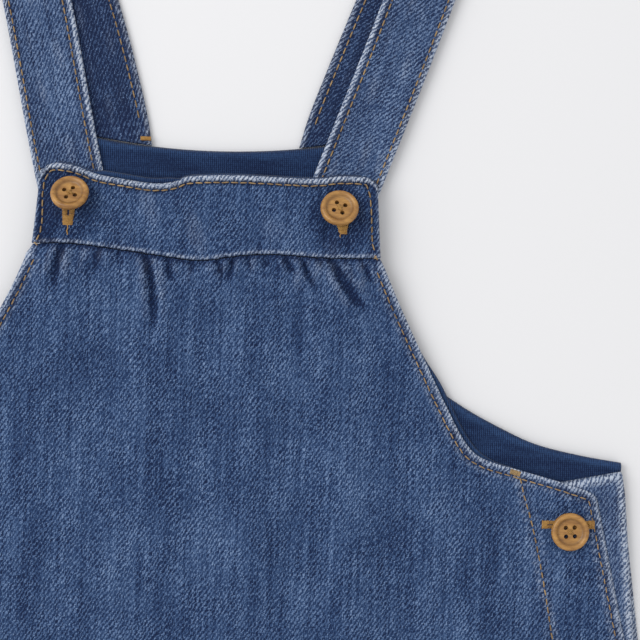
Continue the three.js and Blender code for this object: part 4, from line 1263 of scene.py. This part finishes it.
def make_button(index, name, x, y, tilt, turn):
    """A wooden button, tilted and set on its cloth, and the thread crossed in its holes."""
    piece = bpy.data.objects.new(f"{name}_wood", button_mesh(f"{name}_wood"))
    bpy.context.scene.collection.objects.link(piece)
    cut_holes(piece, turn)
    mesh = piece.data
    mesh.materials.clear()
    spots = np.array([v.co for v in mesh.vertices]) / MM
    around = np.hypot(spots[:, 0], spots[:, 1])
    # painted shade down the four holes and in the groove inside the rim
    hole_shade = (spots[:, 2] < 1.85) & (around < 4.5)
    rim_groove_shade = bump(around - 5.0, 0.55) * (spots[:, 2] > 1.5)
    layer = mesh.attributes.new("shade_and_dye", "FLOAT", "POINT")
    layer.data.foreach_set("value", np.clip(hole_shade * 1.0 + rim_groove_shade * 0.5, 0, 1))
    lean = math.radians(tilt)
    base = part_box(f"button_{name}")[0].z / MM
    rotate = np.array([[1, 0, 0], [0, math.cos(lean), math.sin(lean)], [0, -math.sin(lean), math.cos(lean)]])
    placed = spots @ rotate.T
    height = base - placed[:, 2].min()
    origin = np.array([x, y, height])
    mesh.vertices.foreach_set("co", to_frame(placed + origin).ravel())
    mesh.polygons.foreach_set("use_smooth", [True] * len(mesh.polygons))
    mesh.set_sharp_from_angle(angle=math.radians(38))
    mesh.update()
    mesh.materials.append(turned_wood(f"{name}_wood", 0.31 * (index + 1)))
    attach(piece, "root")
    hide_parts(f"button_{name}")
    place = lambda p: np.asarray(p, float) @ rotate.T + origin
    runs = []
    for i in range(2):
        a = math.radians(turn) + math.pi * (i / 2 + 0.25)
        for off in (-BUTTON_THREAD, BUTTON_THREAD):
            aside = np.array([-math.sin(a), math.cos(a), 0]) * off
            ends = np.array([math.cos(a), math.sin(a), 0])
            rise = 2.2 + 0.28 * i
            steps = [(-1.5, 1.6), (-1.35, rise - 0.15), (-0.8, rise), (0, rise + 0.12), (0.8, rise),
                     (1.35, rise - 0.15), (1.5, 1.6)]
            line = [ends * out + aside + (0, 0, z) for out, z in steps]
            runs.append((place(line), [BUTTON_THREAD] * len(line)))
    thread_piece(f"{name}_thread", runs, OCHRE, 8)


# ---- the surface, light and camera ---------------------------------------------------------------
def make_stage():
    """The pale floor, which is only surroundings."""
    mesh = bpy.data.meshes.new("floor")
    corners = ((-1, -1), (1, -1), (1, 1), (-1, 1))
    mesh.from_pydata([(a * FLOOR_HALF, b * FLOOR_HALF, FLOOR_Z) for a, b in corners], [], [(0, 1, 2, 3)])
    floor = bpy.data.objects.new("floor", mesh)
    bpy.context.scene.collection.objects.link(floor)
    material, _, shader = new_material("pale_floor")
    shader.inputs["Base Color"].default_value = (0.80, 0.80, 0.815, 1)
    shader.inputs["Roughness"].default_value = 0.9
    shader.inputs["Specular IOR Level"].default_value = 0.1
    mesh.materials.append(material)


def area_light(name, place, target, size, power):
    data = bpy.data.lights.new(name, "AREA")
    data.shape, data.size, data.energy = "DISK", size, power
    light = bpy.data.objects.new(name, data)
    light.location = place
    light.rotation_euler = (Vector(target) - Vector(place)).to_track_quat("-Z", "Y").to_euler()
    bpy.context.scene.collection.objects.link(light)


def make_light():
    """An even, soft room and one large window from the upper left."""
    world = bpy.data.worlds.new("soft_room")
    bpy.context.scene.world = world
    world.use_nodes = True
    world.node_tree.nodes["Background"].inputs["Color"].default_value = (1, 1, 1, 1)
    world.node_tree.nodes["Background"].inputs["Strength"].default_value = ROOM_LIGHT
    area_light("window", WINDOW_PLACE, WINDOW_TARGET, WINDOW_SIZE, WINDOW_POWER)
    scene = bpy.context.scene
    scene.view_settings.view_transform = "Standard"


def make_camera():
    """From straight above, over the yoke and the right armhole."""
    data = bpy.data.cameras.new("camera")
    data.lens, data.sensor_width = CAMERA_LENS, CAMERA_SENSOR
    camera = bpy.data.objects.new("camera", data)
    height = VIEW_WIDTH * CAMERA_LENS / CAMERA_SENSOR + VIEW_LEVEL
    camera.location = (CAMERA_X * MM, (CAMERA_Y + RISE_Y) * MM, height * MM)
    camera.rotation_euler = (0, 0, math.radians(CAMERA_TURN))
    data.clip_start = 0.01
    bpy.context.scene.collection.objects.link(camera)
    bpy.context.scene.camera = camera


# ---- making it all -------------------------------------------------------------------------------
make_camera()
make_light()
make_stage()
make_back()
make_back_lining()
make_front()
make_yoke()
make_yoke_facing()
for word, side in (("left", -1), ("right", 1)):
    make_armhole_facing(word, side)
    make_stand(word, side)
straps = {word: make_strap(word, legs) for word, legs in STRAPS.items()}
add_stitches(straps)
add_buttonholes()
add_bars()
for index, (name, x, y, tilt, turn) in enumerate(BUTTONS):
    make_button(index, name, x, y, tilt, turn)
